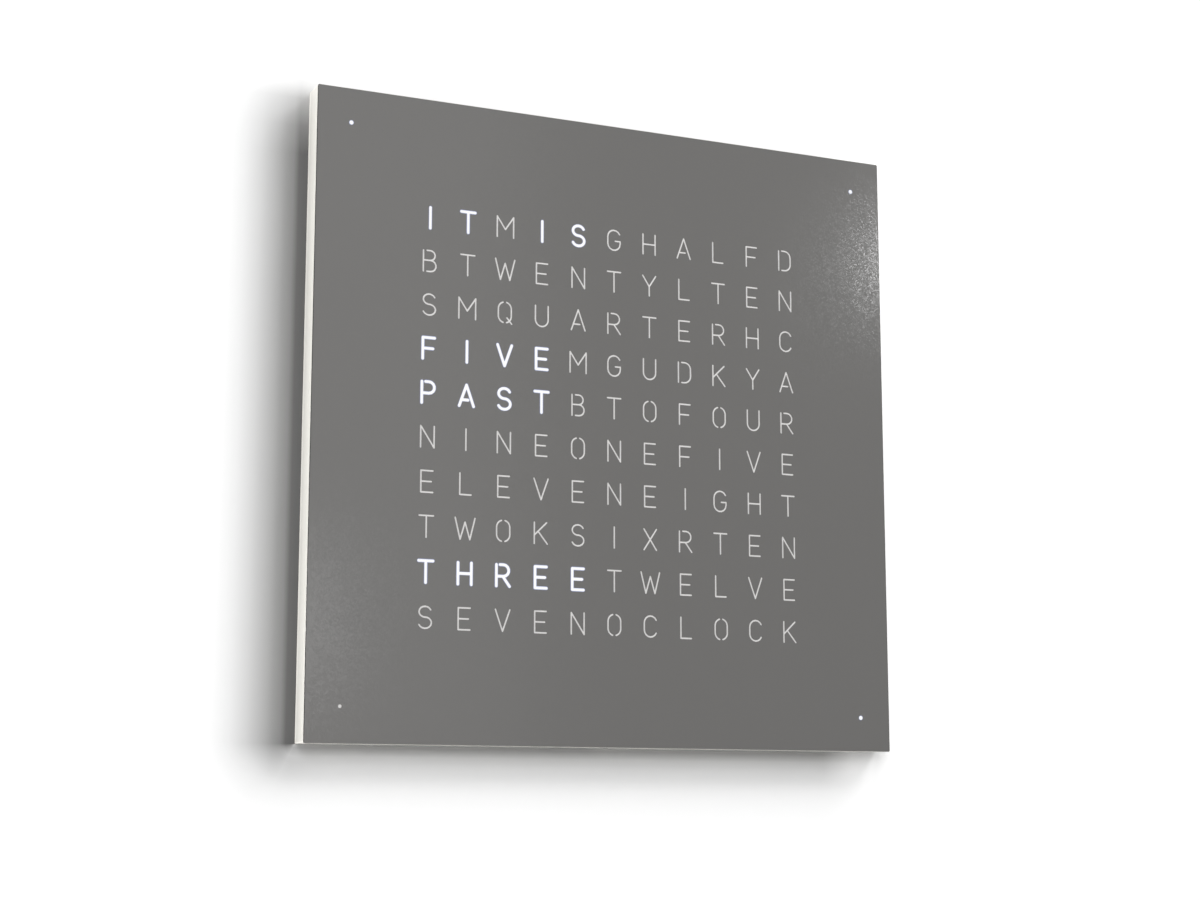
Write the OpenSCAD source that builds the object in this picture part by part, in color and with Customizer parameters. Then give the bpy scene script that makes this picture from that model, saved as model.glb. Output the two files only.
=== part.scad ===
// Square wall clock that tells the time in words, lit from behind a steel cover.
// Origin: centre of the rear face. X to the right, Z up, Y into the wall.
// Every piece is drawn flat, with z as its distance off the wall, and hung() stands it up.

/* [Clock] */
// Width and height of the square clock
side = 450; // [436:2:480]
// Depth from the wall to the front of the cover
depth = 20; // [19:0.5:24]
// Radius of the four outer corners
corner_r = 1; // [0.5:0.25:3]

/* [Cover] */
// Thickness of the steel front cover
cover_t = 1; // [0.8:0.1:1.5]
// Gap between the case and the cover that its magnets hold
cover_gap = 0.2; // [0.1:0.1:0.4]
// Thickness of the opal diffuser glued behind the cover
diffuser_t = 0.8; // [0.5:0.1:1.2]
// Gap round the diffuser inside the case
diffuser_clearance = 1; // [0.5:0.25:2]
// Diameter of the minute dot in each corner
minute_dot_d = 2.5; // [2:0.25:4]
// Distance of a minute dot from both edges
minute_dot_inset = 24.4; // [24:0.2:27]
// Diameter of the cover's locating pins
pin_d = 4; // [3:0.5:5]
// Length of the locating pins behind the cover
pin_l = 6; // [4:0.5:7]

/* [Letter field] */
// Letters in a row
columns = 11; // [10:1:11]
// Rows of letters
rows = 10; // [9:1:10]
// Distance from the clock's side edges to the middle of the first and last letter columns
column_margin = 83.35; // [80:0.05:90]
// Distance from the clock's top and bottom edges to the middle of the first and last rows
row_margin = 85.5; // [84:0.25:92]

/* [Case] */
// Width of the wooden frame sides
frame_w = 16; // [14:0.5:16.5]
// Chamfer along the frame's outer edges
edge_chamfer = 0.4; // [0.2:0.1:1]
// Thickness of the back panel
back_panel_t = 3; // [2.5:0.25:3.5]
// Width of the rebate that the back panel lies in
rebate_w = 8; // [7:0.5:9]
// Gap round the back panel in its rebate
panel_clearance = 0.3; // [0.2:0.1:0.6]
// Diameter of the cover magnets
magnet_d = 10; // [8:0.5:12]
// Thickness of the cover magnets
magnet_t = 3; // [2:0.5:4]
// Distance of a magnet from the middle of its side
magnet_offset = 130; // [110:5:140]
// Radial gap round a magnet in its pocket
magnet_clearance = 0.1; // [0.05:0.05:0.2]
// Outer diameter of the bushes that take the locating pins
bush_d = 7; // [6.5:0.5:9]
// Radial gap between a locating pin and its bush
pin_clearance = 0.3; // [0.2:0.05:0.4]

/* [Screws] */
// Diameter of the back panel's screws
panel_screw_d = 3; // [2.5:0.5:3.5]
// Length of the back panel's screws
panel_screw_l = 11; // [8:1:12]
// Distances of the back panel's screws from the middle of a side
panel_screw_offset = 60; // [40:5:90]
// Distance between two back panel screws on one half of a side
panel_screw_step = 115; // [90:5:120]
// Diameter of the screws that hold the light grid
grid_screw_d = 2.5; // [2:0.25:3]
// Length of the screws that hold the light grid
grid_screw_l = 12; // [10:1:13]

/* [Light grid] */
// Thickness of the walls between two light wells
cell_wall = 1.8; // [1.2:0.2:2.6]
// Height of the reflector cone at the bottom of a light well
reflector_h = 4; // [3:0.5:6]
// Diameter of the opening round a light
led_opening_d = 8; // [7.5:0.5:10]
// Flat rim round a reflector cone inside its square well
reflector_rim = 1.2; // [0.5:0.1:2]
// Gap between the light grid and the diffuser
grid_gap = 0.4; // [0.3:0.1:0.8]
// Diameter of the screw bosses in the light grid
boss_d = 8; // [6:0.5:9]
// Height of the screw bosses
boss_h = 10; // [10:0.5:12]

/* [Circuit boards] */
// Thickness of the circuit boards
board_t = 1.6; // [1.2:0.2:2]
// Margin of the light board round the light grid
led_board_margin = 3; // [2:0.5:4]
// Length, width and height of one light
led_size = [3.5, 2.8, 1.4];
// Outer diameter of the light tubes in the corners
corner_tube_d = 14; // [12:0.5:15]
// Wall of the light tubes in the corners
corner_tube_wall = 2; // [1:0.25:3]
// Side of the small circuit boards in the corners
corner_board_w = 16; // [15.5:0.25:16.5]
// Width of the flat leads to the corner boards
corner_lead_w = 3; // [2:0.5:4]
// Thickness of the flat leads to the corner boards
corner_lead_t = 1.2; // [0.8:0.1:1.5]
// Width of the controller board
controller_w = 34; // [33:0.5:35]
// Height of the controller board
controller_h = 156; // [144:2:170]
// Height of the spacers under the controller board
standoff_h = 1.5; // [1:0.25:2]
// Diameter of the spacers under the controller board
standoff_d = 6; // [5:0.5:7]
// Diameter of the screws in those spacers
board_screw_d = 2.5; // [2:0.5:3]
// Width of the ribbon cable
ribbon_w = 14; // [10:1:18]

/* [Hangers] */
// Distance between the two keyholes
hanger_spacing = 300; // [240:10:320]
// Diameter of a keyhole's entry
keyhole_d = 10; // [8:0.5:11]
// Width of a keyhole's slot
keyhole_slot_w = 5; // [4:0.5:5]
// Distance from a keyhole's entry to the end of its slot
keyhole_rise = 10; // [8:0.5:11]
// Width of a hanger plate
hanger_plate_w = 50; // [46:1:60]
// Height of a hanger plate
hanger_plate_h = 26; // [24:1:28]
// Thickness of a hanger plate
hanger_plate_t = 1.5; // [1:0.25:2]
// Depth of the pocket for a screw head behind a hanger plate
head_pocket = 8; // [6:0.5:10]
// Height of the wooden hanger rail
rail_h = 34; // [32:1:36]

/* [Buttons] */
// Diameter of a push button
button_d = 5; // [4:0.5:6]
// How far a button travels
button_travel = 0.8; // [0.5:0.1:1]
// Distance between two buttons
button_pitch = 18; // [14:1:20]
// Height of the middle of the row of buttons over the clock's middle
button_row_z = -40; // [-45:1:-30]
// Radial gap between a button and its bore
button_clearance = 0.3; // [0.2:0.05:0.5]
// Diameter of the collar that keeps a button in
collar_d = 8; // [7.5:0.5:9]
// Diameter of a switch stem
stem_d = 3.5; // [3:0.25:4]

/* [Power socket] */
// Diameter of the plug that the socket takes
plug_d = 5.5; // [5:0.25:5.5]
// Diameter of the socket's centre pin
socket_pin_d = 2.1; // [1.7:0.2:2.5]
// Depth of the socket's bore
socket_bore_l = 9.5; // [9:0.25:10]
// Width of the recess that the plug lies in
recess_w = 16; // [14:0.5:20]
// Room for the wires between the socket and the light board
wire_room = 4.7; // [4.4:0.1:6]
// Depth of the recess from the wall
recess_depth = 15.2; // [15:0.1:15.5]
// Width of the channel that the cable leaves by
channel_w = 8; // [6:0.5:10]
// Depth of the channel that the cable leaves by
channel_depth = 6; // [5:0.5:7]
// Wall of the tray that lines the recess
tray_wall = 1.4; // [1.2:0.1:1.5]

/* [Hidden] */
$fn = 48;

// Past a face, so that a cut goes clean through it
cut = 1;
// Gap of pieces of one body that are pushed together
fit_gap = 0.05;

// The case, from the wall to the front
cover_back = depth - cover_t;
case_front = cover_back - cover_gap;
case_inner = side / 2 - frame_w;
frame_mid = side / 2 - frame_w / 2;
panel_edge = case_inner + rebate_w - panel_clearance;
panel_screw_at = case_inner + rebate_w / 2;
panel_screw_offsets = [for (s = [-1, 1], k = [0, 1]) s * (panel_screw_offset + k * panel_screw_step)];
minute_dot_at = side / 2 - minute_dot_inset;
bush_floor = 1;
bush_l = pin_l - cover_gap + bush_floor;

// The light grid and the boards behind it
board_front = back_panel_t + board_t;
grid_front = cover_back - diffuser_t - grid_gap;
column_pitch = (side - 2 * column_margin) / (columns - 1);
row_pitch = (side - 2 * row_margin) / (rows - 1);
well_w = column_pitch - cell_wall;
well_h = row_pitch - cell_wall;
grid_w = columns * column_pitch + cell_wall;
grid_h = rows * row_pitch + cell_wall;
led_board_bottom = grid_h / 2 + led_board_margin;
grid_crossings = [for (i = [1:3:columns - 1], j = [1:4:rows - 1])
  [(i - columns / 2) * column_pitch, (j - rows / 2) * row_pitch]];

// The headers and the controller board in the right margin
header_w = 5;
header_h = 5;
header_gap = 1;
header_end = 2;
led_board_right = grid_w / 2 + 2 * header_gap + header_w;
controller_back = back_panel_t + standoff_h;
controller_front = controller_back + board_t;
controller_inset = 3;
controller_right = case_inner - controller_inset;
controller_left = controller_right - controller_w;

// The buttons, from the outside to the inside
switch_size = [4.4, 6, 6.4];
stem_height = 3.3;
button_axis_z = controller_front + stem_height;
button_flush = 0.2;
button_end = side / 2 - button_flush;
button_bore_d = button_d + 2 * button_clearance;
dish_rim = 1.7;
dish_d = button_bore_d + 2 * dish_rim;
dish_depth = 1.2;
collar_t = 1.2;
collar_gap = 0.3;
collar_front = case_inner - collar_gap;
collar_back = collar_front - collar_t;
stem_free = 1.2;
stem_l = collar_back - controller_right + stem_free;
stem_clearance = 0.2;
button_places = [for (k = [1.5, 0.5, -0.5, -1.5]) button_row_z + k * button_pitch];
standoff_in = 5;
switch_to_standoff = 1;
controller_bottom = button_places[3] - switch_size[1] / 2 - switch_to_standoff
  - standoff_d / 2 - standoff_in;
controller_top = controller_bottom + controller_h;
controller_mid = [(controller_left + controller_right) / 2, (controller_bottom + controller_top) / 2];

// What sits on the controller board: sizes, then places from its left edge and top edge
micro_size = [10, 10, 1.4];
micro_at = [14, 60];
driver_size = [8, 6, 1.5];
driver_at = [12, 82];
driver_step = 16;
capacitor_d = 8;
capacitor_h = 10;
capacitor_ease = 0.6;
capacitor_at = [13, 18];
capacitor_step = 11;
cell_d = 20;
cell_t = 3.2;
cell_floor = 1.2;
cell_holder_wall = 1.5;
cell_holder_lip = 0.4;
cell_at = [18, 38];
power_header_size = [8, 6, 6];
power_header_x = 17;
power_header_y = 5;
sensor_size = [1.2, 2, 0.8];
sensor_out = 2.9;
sensor_x = (columns % 2 == 0 ? column_pitch / 2 : 0) + sensor_out;
ribbon_t = 0.9;
ribbon_rise = 2;

// The hangers in the top margin
rail_mid = (grid_h / 2 + case_inner) / 2;
rail_end_gap = 3;
rail_l = 2 * (minute_dot_at - corner_board_w / 2 - rail_end_gap);
keyhole_at = rail_mid - keyhole_rise / 2;
hanger_window_gap = 1;
head_gap = 3;
hanger_screw_d = 3;
hanger_screw_head = 6;
hanger_screw_sunk = 0.4;
hanger_screw_l = 11;
hanger_screw_in = 6;
hanger_screw_out = hanger_plate_w / 2 - hanger_screw_in;

// The power socket in the bottom margin
socket_off_middle = 1.5;
socket_axis_z = recess_depth / 2 + socket_off_middle;
plug_clearance = 0.25;
socket_nose_wall = 1;
socket_collar = 1.5;
socket_bore_d = plug_d + 2 * plug_clearance;
socket_nose_d = socket_bore_d + 2 * socket_nose_wall;
socket_body_d = socket_nose_d + 2 * socket_collar;
socket_body_l = 10;
socket_nose_l = 6.5;
nut_t = 2;
nut_wall = 2;
socket_base = -led_board_bottom - wire_room - socket_body_l;
recess_top = socket_base - tray_wall;
recess_l = recess_top + case_inner;
socket_mouth = recess_top - socket_nose_l;
socket_floor = socket_mouth + socket_bore_l;
socket_pin_recess = 0.5;
tray_flange = 5;
wire_d = 1.6;
wire_gap = 0.8;
wire_out = 2;
wire_pitch = wire_d + wire_gap;

// Stands a piece up that is drawn flat on the wall.
module hung() rotate([90, 0, 0]) children();

// Puts a copy in each of the four corners, x and y from the middle.
module four_corners(x, y) {
  for (sx = [-1, 1], sy = [-1, 1]) translate([sx * x, sy * y, 0]) children();
}

// Puts a copy on each of the four sides, as drawn for the right side.
module four_sides() {
  for (turn = [0:90:270]) rotate([0, 0, turn]) children();
}

// Puts a copy behind or in front of every letter.
module every_letter() {
  for (i = [0:columns - 1], j = [0:rows - 1])
    translate([(i - (columns - 1) / 2) * column_pitch, (j - (rows - 1) / 2) * row_pitch, 0])
      children();
}

module rounded_square(s, r) {
  square([s, s - 2 * r], center = true);
  square([s - 2 * r, s], center = true);
  four_corners(s / 2 - r, s / 2 - r) circle(r);
}

// A box with its middle over x and y and its back at z.
module block(size, at) translate([at[0] - size[0] / 2, at[1] - size[1] / 2, at[2]]) cube(size);

// A countersunk screw driven from the wall side, its head flush with z = 0.
module countersunk_screw(d, l) {
  cylinder(d1 = 2 * d, d2 = d, h = d / 2);
  cylinder(d = d, h = l);
}

// The hole that such a screw sits in, with room all round.
module countersunk_hole(d, l) {
  translate([0, 0, -cut]) cylinder(d = 2 * d + 2 * fit_gap, h = cut);
  cylinder(d1 = 2 * d + 2 * fit_gap, d2 = d + 2 * fit_gap, h = d / 2);
  cylinder(d = d + 2 * fit_gap, h = l + fit_gap);
}

// A round bar from one point to the next.
module bar(from, to, d) {
  run = to - from;
  l = norm(run);
  translate(from) rotate([0, acos(run[2] / l), atan2(run[1], run[0])]) cylinder(d = d, h = l);
}

// A wire through a list of points, round at each bend.
module wire(points, d) {
  for (k = [1:len(points) - 1]) bar(points[k - 1], points[k], d);
  for (k = [1:len(points) - 2]) translate(points[k]) sphere(d = d);
}

// ---------------------------------------------------------------- cover

module front_cover() color("#777674") hung() difference() {
  translate([0, 0, cover_back]) linear_extrude(cover_t) rounded_square(side, corner_r);
  translate([0, 0, cover_back - cut]) four_corners(minute_dot_at, minute_dot_at)
    cylinder(d = minute_dot_d, h = cover_t + 2 * cut);
}

module diffuser_sheet() color("#e8e4da") hung() {
  w = 2 * (case_inner - diffuser_clearance);
  block([w, w, diffuser_t], [0, 0, cover_back - diffuser_t]);
}

// A pin with a tapered tip, welded to the cover in the middle of each side.
module cover_pins() color("silver") hung() four_sides() translate([frame_mid, 0, 0]) {
  tip = 1;
  translate([0, 0, cover_back - pin_l + tip]) cylinder(d = pin_d, h = pin_l - tip);
  translate([0, 0, cover_back - pin_l]) cylinder(d1 = pin_d / 2, d2 = pin_d, h = tip);
}

// ---------------------------------------------------------------- case

// Cross-section of a frame side: rebate for the back panel, chamfered outer edges.
module frame_profile() polygon([
  [case_inner, back_panel_t],
  [case_inner, case_front],
  [side / 2 - edge_chamfer, case_front],
  [side / 2, case_front - edge_chamfer],
  [side / 2, edge_chamfer],
  [side / 2 - edge_chamfer, 0],
  [case_inner + rebate_w, 0],
  [case_inner + rebate_w, back_panel_t]
]);

// One side of the frame, mitred at both ends, drawn on the right and turned to its place.
module frame_side(turn) rotate([0, 0, turn]) difference() {
  intersection() {
    rotate([90, 0, 0]) linear_extrude(side, center = true) frame_profile();
    translate([0, 0, -cut]) linear_extrude(depth + 2 * cut)
      polygon([[0, 0], [side / 2 + cut, -side / 2 - cut], [side / 2 + cut, side / 2 + cut]]);
    translate([0, 0, -cut]) linear_extrude(depth + 2 * cut) rounded_square(side, corner_r);
  }
  for (s = [-1, 1]) translate([frame_mid, s * magnet_offset, case_front - magnet_t - fit_gap])
    cylinder(d = magnet_d + 2 * magnet_clearance, h = magnet_t + cut);
  translate([frame_mid, 0, case_front - bush_l - fit_gap])
    cylinder(d = bush_d + 2 * fit_gap, h = bush_l + cut);
  for (o = panel_screw_offsets) translate([panel_screw_at, o, 0])
    countersunk_hole(panel_screw_d, panel_screw_l);
}

module frame_left_side() color("#e5e3dc") hung() frame_side(180);

module frame_top_side() color("#e5e3dc") hung() frame_side(90);

module frame_right_side() color("#e5e3dc") hung() difference() {
  frame_side(0);
  for (y = button_places) translate([case_inner - cut, y, button_axis_z]) rotate([0, 90, 0]) {
    cylinder(d = button_bore_d, h = frame_w + 2 * cut);
    translate([0, 0, frame_w + cut - dish_depth])
      cylinder(d1 = button_bore_d, d2 = dish_d, h = dish_depth);
  }
}

module frame_bottom_side() color("#e5e3dc") hung() difference() {
  frame_side(270);
  block([channel_w, frame_w + 2 * cut, channel_depth + cut], [0, -frame_mid, -cut]);
}

module keyhole(entry_d, slot_d) {
  circle(d = entry_d);
  translate([-slot_d / 2, 0]) square([slot_d, keyhole_rise]);
  translate([0, keyhole_rise]) circle(d = slot_d);
}

module back_panel() color("#8a6f4e") hung() difference() {
  block([2 * panel_edge, 2 * panel_edge, back_panel_t], [0, 0, 0]);
  for (s = [-1, 1]) block([hanger_plate_w + 2 * hanger_window_gap,
    hanger_plate_h + 2 * hanger_window_gap, back_panel_t + 2 * cut],
    [s * hanger_spacing / 2, rail_mid, -cut]);
  translate([-recess_w / 2, -panel_edge - cut, -cut])
    cube([recess_w, recess_top + panel_edge + cut, back_panel_t + 2 * cut]);
  four_sides() for (o = panel_screw_offsets) translate([panel_screw_at, o, 0])
    countersunk_hole(panel_screw_d, panel_screw_l);
  for (p = grid_crossings) translate(p) countersunk_hole(grid_screw_d, grid_screw_l);
}

module back_panel_screws() color("#b9b9b4") hung() four_sides()
  for (o = panel_screw_offsets) translate([panel_screw_at, o, 0])
    countersunk_screw(panel_screw_d, panel_screw_l);

// Wooden rail that carries the hanger plates, with a pocket behind each keyhole.
module hanger_rail() color("#c9a97a") hung() difference() {
  block([rail_l, rail_h, grid_front - back_panel_t], [0, rail_mid, back_panel_t]);
  for (s = [-1, 1]) translate([s * hanger_spacing / 2, 0, back_panel_t]) {
    translate([0, keyhole_at, -cut]) linear_extrude(head_pocket + cut)
      keyhole(keyhole_d + 2 * head_gap, keyhole_d + head_gap);
    for (t = [-1, 1]) translate([t * hanger_screw_out, rail_mid, -cut])
      cylinder(d = hanger_screw_d + 2 * fit_gap, h = hanger_screw_l + cut);
  }
}

module hanger_plates() color("#c4c6c8") hung() for (s = [-1, 1])
  translate([s * hanger_spacing / 2, 0, back_panel_t - hanger_plate_t]) difference() {
    block([hanger_plate_w, hanger_plate_h, hanger_plate_t], [0, rail_mid, 0]);
    translate([0, keyhole_at, -cut]) linear_extrude(hanger_plate_t + 2 * cut)
      keyhole(keyhole_d, keyhole_slot_w);
    for (t = [-1, 1]) translate([t * hanger_screw_out, rail_mid, -cut])
      cylinder(d = hanger_screw_d + 2 * fit_gap, h = hanger_plate_t + 2 * cut);
  }

// Pan-headed screws, their heads behind the wall plane.
module hanger_screws() color("#b9b9b4") hung()
  for (s = [-1, 1], t = [-1, 1])
    translate([s * hanger_spacing / 2 + t * hanger_screw_out, rail_mid,
      back_panel_t - hanger_plate_t]) {
      head_h = back_panel_t - hanger_plate_t - hanger_screw_sunk;
      translate([0, 0, -head_h]) cylinder(d = hanger_screw_head, h = head_h);
      cylinder(d = hanger_screw_d, h = hanger_screw_l);
    }

module cover_magnets() color("#c9ccd0") hung() four_sides()
  for (s = [-1, 1]) translate([frame_mid, s * magnet_offset, case_front - magnet_t])
    cylinder(d = magnet_d, h = magnet_t);

module pin_bushes() color("#d9b25a") hung() four_sides()
  translate([frame_mid, 0, case_front - bush_l]) difference() {
    cylinder(d = bush_d, h = bush_l);
    translate([0, 0, -cut]) cylinder(d = pin_d + 2 * pin_clearance, h = bush_l + 2 * cut);
  }

// ---------------------------------------------------------------- light grid and lights

// The space of one light: a reflector cone round the light, square above it.
module light_well() {
  rim_d = min(well_w, well_h) - 2 * reflector_rim;
  translate([0, 0, board_front]) cylinder(d1 = led_opening_d, d2 = rim_d, h = reflector_h);
  block([well_w, well_h, grid_front - board_front], [0, 0, board_front + reflector_h]);
}

module light_grid() color("#f2f2ee") hung() difference() {
  union() {
    difference() {
      block([grid_w, grid_h, grid_front - board_front], [0, 0, board_front]);
      every_letter() light_well();
    }
    for (p = grid_crossings) translate([p[0], p[1], board_front]) cylinder(d = boss_d, h = boss_h);
  }
  for (p = grid_crossings) translate([p[0], p[1], board_front - cut])
    cylinder(d = grid_screw_d + 2 * fit_gap, h = grid_screw_l + cut - board_front + fit_gap);
}

module grid_screws() color("#b9b9b4") hung()
  for (p = grid_crossings) translate(p) countersunk_screw(grid_screw_d, grid_screw_l);

module led_board() color("#f4f4f0") hung() difference() {
  left = grid_w / 2 + led_board_margin;
  translate([-left, -led_board_bottom, back_panel_t])
    cube([left + led_board_right, 2 * led_board_bottom, board_t]);
  for (p = grid_crossings) translate([p[0], p[1], back_panel_t - cut])
    cylinder(d = grid_screw_d + 2 * fit_gap, h = board_t + 2 * cut);
}

module led_chips() color("#f7ecc0") hung() every_letter() block(led_size, [0, 0, board_front]);

// A small light sensor beside the light in the middle of the second row.
module light_sensor() color("#3a3a40") hung()
  block(sensor_size, [sensor_x, (rows / 2 - 1.5) * row_pitch, board_front]);

module corner_light_tubes() color("#f2f2ee") hung()
  four_corners(minute_dot_at, minute_dot_at) translate([0, 0, board_front]) {
    foot_h = 2;
    bore_d = corner_tube_d - 2 * corner_tube_wall;
    difference() {
      union() {
        block([corner_board_w, corner_board_w, foot_h], [0, 0, 0]);
        cylinder(d = corner_tube_d, h = grid_front - board_front);
      }
      translate([0, 0, -cut]) cylinder(d = bore_d, h = grid_front);
    }
  }

module corner_led_boards() color("#f4f4f0") hung() four_corners(minute_dot_at, minute_dot_at)
  block([corner_board_w, corner_board_w, board_t], [0, 0, back_panel_t]);

module corner_led_chips() color("#f7ecc0") hung() four_corners(minute_dot_at, minute_dot_at)
  block(led_size, [0, 0, board_front]);

// Flat leads that run round the margin from corner board to corner board and to the controller.
module corner_leads() color("#2f3033") hung() {
  line = minute_dot_at + corner_board_w / 2 - corner_lead_w;
  reach = minute_dot_at - corner_board_w / 2;
  z = back_panel_t;
  block([2 * reach, corner_lead_w, corner_lead_t], [0, line, z]);
  block([corner_lead_w, 2 * reach, corner_lead_t], [-line, 0, z]);
  for (run = [[controller_top, reach], [-reach, controller_bottom]])
    block([corner_lead_w, run[1] - run[0], corner_lead_t],
      [controller_right - corner_lead_w, (run[0] + run[1]) / 2, z]);
}

// ---------------------------------------------------------------- controller

// Puts a copy on each of the controller board's four screws.
module controller_corners() {
  translate([controller_mid[0], controller_mid[1], 0])
    four_corners(controller_w / 2 - standoff_in, controller_h / 2 - standoff_in) children();
}

module controller_board() color("#1f5d3a") hung() difference() {
  block([controller_w, controller_h, board_t],
    [controller_mid[0], controller_mid[1], controller_back]);
  controller_corners() translate([0, 0, controller_back - cut])
    cylinder(d = board_screw_d + 2 * fit_gap, h = board_t + 2 * cut);
}

module board_standoffs() color("#d9d6cc") hung() controller_corners()
  translate([0, 0, back_panel_t]) difference() {
    cylinder(d = standoff_d, h = standoff_h);
    translate([0, 0, -cut]) cylinder(d = board_screw_d + 2 * fit_gap, h = standoff_h + 2 * cut);
  }

module board_screws() color("#b9b9b4") hung() controller_corners() {
  translate([0, 0, back_panel_t]) cylinder(d = board_screw_d, h = standoff_h + board_t);
  translate([0, 0, controller_front]) cylinder(d = 2 * board_screw_d, h = 0.65 * board_screw_d);
}

// Puts a piece on the controller board, measured from its left edge and its top edge.
module on_controller(at) {
  translate([controller_left + at[0], controller_top - at[1], controller_front]) children();
}

module microcontroller() color("#26272b") hung() on_controller(micro_at)
  block(micro_size, [0, 0, 0]);

module driver_chips() color("#26272b") hung() for (k = [0:2])
  on_controller(driver_at + [0, k * driver_step]) block(driver_size, [0, 0, 0]);

module capacitors() color("#34363c") hung() for (k = [0, 1])
  on_controller(capacitor_at + [k * capacitor_step, 0]) {
    cylinder(d = capacitor_d, h = capacitor_h - capacitor_ease);
    translate([0, 0, capacitor_h - capacitor_ease])
      cylinder(d1 = capacitor_d, d2 = capacitor_d - 2 * capacitor_ease, h = capacitor_ease);
  }

module coin_cell_holder() color("#2b2c30") hung() on_controller(cell_at) difference() {
  cylinder(d = cell_d + 2 * cell_holder_wall, h = cell_floor + cell_t + cell_holder_lip);
  translate([0, 0, cell_floor]) cylinder(d = cell_d + 2 * fit_gap, h = cell_t + 2 * cut);
}

module coin_cell() color("#cfd2d5") hung() on_controller(cell_at)
  translate([0, 0, cell_floor]) cylinder(d = cell_d, h = cell_t);

// Ribbon headers on both boards and a power header at the controller's lower end.
module board_headers() color("#e9e6dc") hung() {
  block([header_w, ribbon_w + 2 * header_end, header_h],
    [grid_w / 2 + header_gap + header_w / 2, 0, board_front]);
  block([header_w, ribbon_w + 2 * header_end, header_h],
    [controller_left + header_gap + header_w / 2, 0, controller_front]);
  on_controller([power_header_x, controller_h - power_header_y])
    block(power_header_size, [0, 0, 0]);
}

// A flat cable that arches from one ribbon header to the other.
module ribbon_cable() color("#9aa0a6") hung() {
  from_x = grid_w / 2 + header_gap + header_w / 2;
  to_x = controller_left + header_gap + header_w / 2;
  low = board_front + header_h;
  high = controller_front + header_h;
  top = high + ribbon_rise;
  t = ribbon_t;
  translate([0, ribbon_w / 2, 0]) rotate([90, 0, 0]) linear_extrude(ribbon_w) polygon([
    [from_x - t / 2, low], [from_x - t / 2, top - t], [from_x + t / 2, top],
    [to_x - t / 2, top], [to_x + t / 2, top - t], [to_x + t / 2, high],
    [to_x - t / 2, high], [to_x - t / 2, top - t], [from_x + t / 2, top - t],
    [from_x + t / 2, low]
  ]);
}

// ---------------------------------------------------------------- power socket

// Trough over the recess that the plug lies in, glued to the back panel.
module cable_tray() color("#33353a") hung() difference() {
  union() {
    translate([-recess_w / 2 - tray_wall, -case_inner, back_panel_t])
      cube([recess_w + 2 * tray_wall, recess_l + tray_wall, recess_depth + tray_wall - back_panel_t]);
    translate([-recess_w / 2 - tray_wall - tray_flange, -case_inner, back_panel_t])
      cube([recess_w + 2 * (tray_wall + tray_flange), recess_l, tray_wall]);
  }
  translate([-recess_w / 2, -case_inner - cut, -cut])
    cube([recess_w, recess_l + cut, recess_depth + cut]);
  translate([0, recess_top + tray_wall + cut, socket_axis_z]) rotate([90, 0, 0])
    cylinder(d = socket_nose_d + 2 * fit_gap, h = tray_wall + 2 * cut);
}

// Barrel socket: body inside the case, threaded nose through the tray's end wall.
module power_socket() color("#1c1d20") hung() difference() {
  union() {
    translate([0, socket_base + socket_body_l, socket_axis_z]) rotate([90, 0, 0])
      cylinder(d = socket_body_d, h = socket_body_l);
    translate([0, socket_base, socket_axis_z]) rotate([90, 0, 0])
      cylinder(d = socket_nose_d, h = socket_base - socket_mouth);
  }
  translate([0, socket_floor, socket_axis_z]) rotate([90, 0, 0])
    cylinder(d = socket_bore_d, h = socket_bore_l + cut);
}

module socket_pin() color("#d8cfa8") hung()
  translate([0, socket_floor, socket_axis_z]) rotate([90, 0, 0])
    cylinder(d = socket_pin_d, h = socket_bore_l - socket_pin_recess);

module socket_nut() color("#c9ccd0") hung()
  translate([0, recess_top, socket_axis_z]) rotate([90, 0, 0]) difference() {
    cylinder(d = socket_nose_d + 2 * nut_wall, h = nut_t, $fn = 6);
    translate([0, 0, -cut]) cylinder(d = socket_nose_d + 2 * fit_gap, h = nut_t + 2 * cut);
  }

// Two wires from the back of the socket to the controller's power header.
module power_lead() color("#8e2a26") hung() {
  start_y = socket_base + socket_body_l;
  end_y = controller_bottom + power_header_y - power_header_size[1] / 2;
  wire_z = controller_front + power_header_size[2] / 2;
  for (s = [-1, 1]) {
    x = s * wire_pitch / 2;
    y = start_y + wire_out - x;
    turn_x = controller_left + power_header_x + x;
    wire([[x, start_y, socket_axis_z], [x, y, socket_axis_z], [turn_x, y, wire_z],
      [turn_x, end_y, wire_z]], wire_d);
  }
}

// ---------------------------------------------------------------- buttons

// Right-angle push switches on the controller board's edge, each with a bore for its stem.
module button_switches() color("#2a2b2f") hung() for (y = button_places)
  difference() {
    block(switch_size, [controller_right - switch_size[0] / 2, y, controller_front]);
    translate([controller_right - stem_free - button_travel - 2 * stem_clearance, y, button_axis_z])
      rotate([0, 90, 0]) cylinder(d = stem_d + 2 * stem_clearance, h = switch_size[0]);
  }

// Plunger with a collar inside the case and a softened outer end.
module button(index) translate([0, button_places[index], button_axis_z]) rotate([0, 90, 0]) {
  ease = 0.4;
  translate([0, 0, collar_back]) cylinder(d = collar_d, h = collar_t);
  translate([0, 0, collar_back]) cylinder(d = button_d, h = button_end - ease - collar_back);
  translate([0, 0, button_end - ease]) cylinder(d1 = button_d, d2 = button_d - 2 * ease, h = ease);
}

module switch_stem(index) translate([collar_back - stem_l, button_places[index], button_axis_z])
  rotate([0, 90, 0]) cylinder(d = stem_d, h = stem_l);

module hours_button() color("#d9d7d0") hung() button(0);

module minutes_button() color("#d9d7d0") hung() button(1);

module brightness_button() color("#d9d7d0") hung() button(2);

module mode_button() color("#d9d7d0") hung() button(3);

module hours_switch_stem() color("#b9babd") hung() switch_stem(0);

module minutes_switch_stem() color("#b9babd") hung() switch_stem(1);

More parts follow.
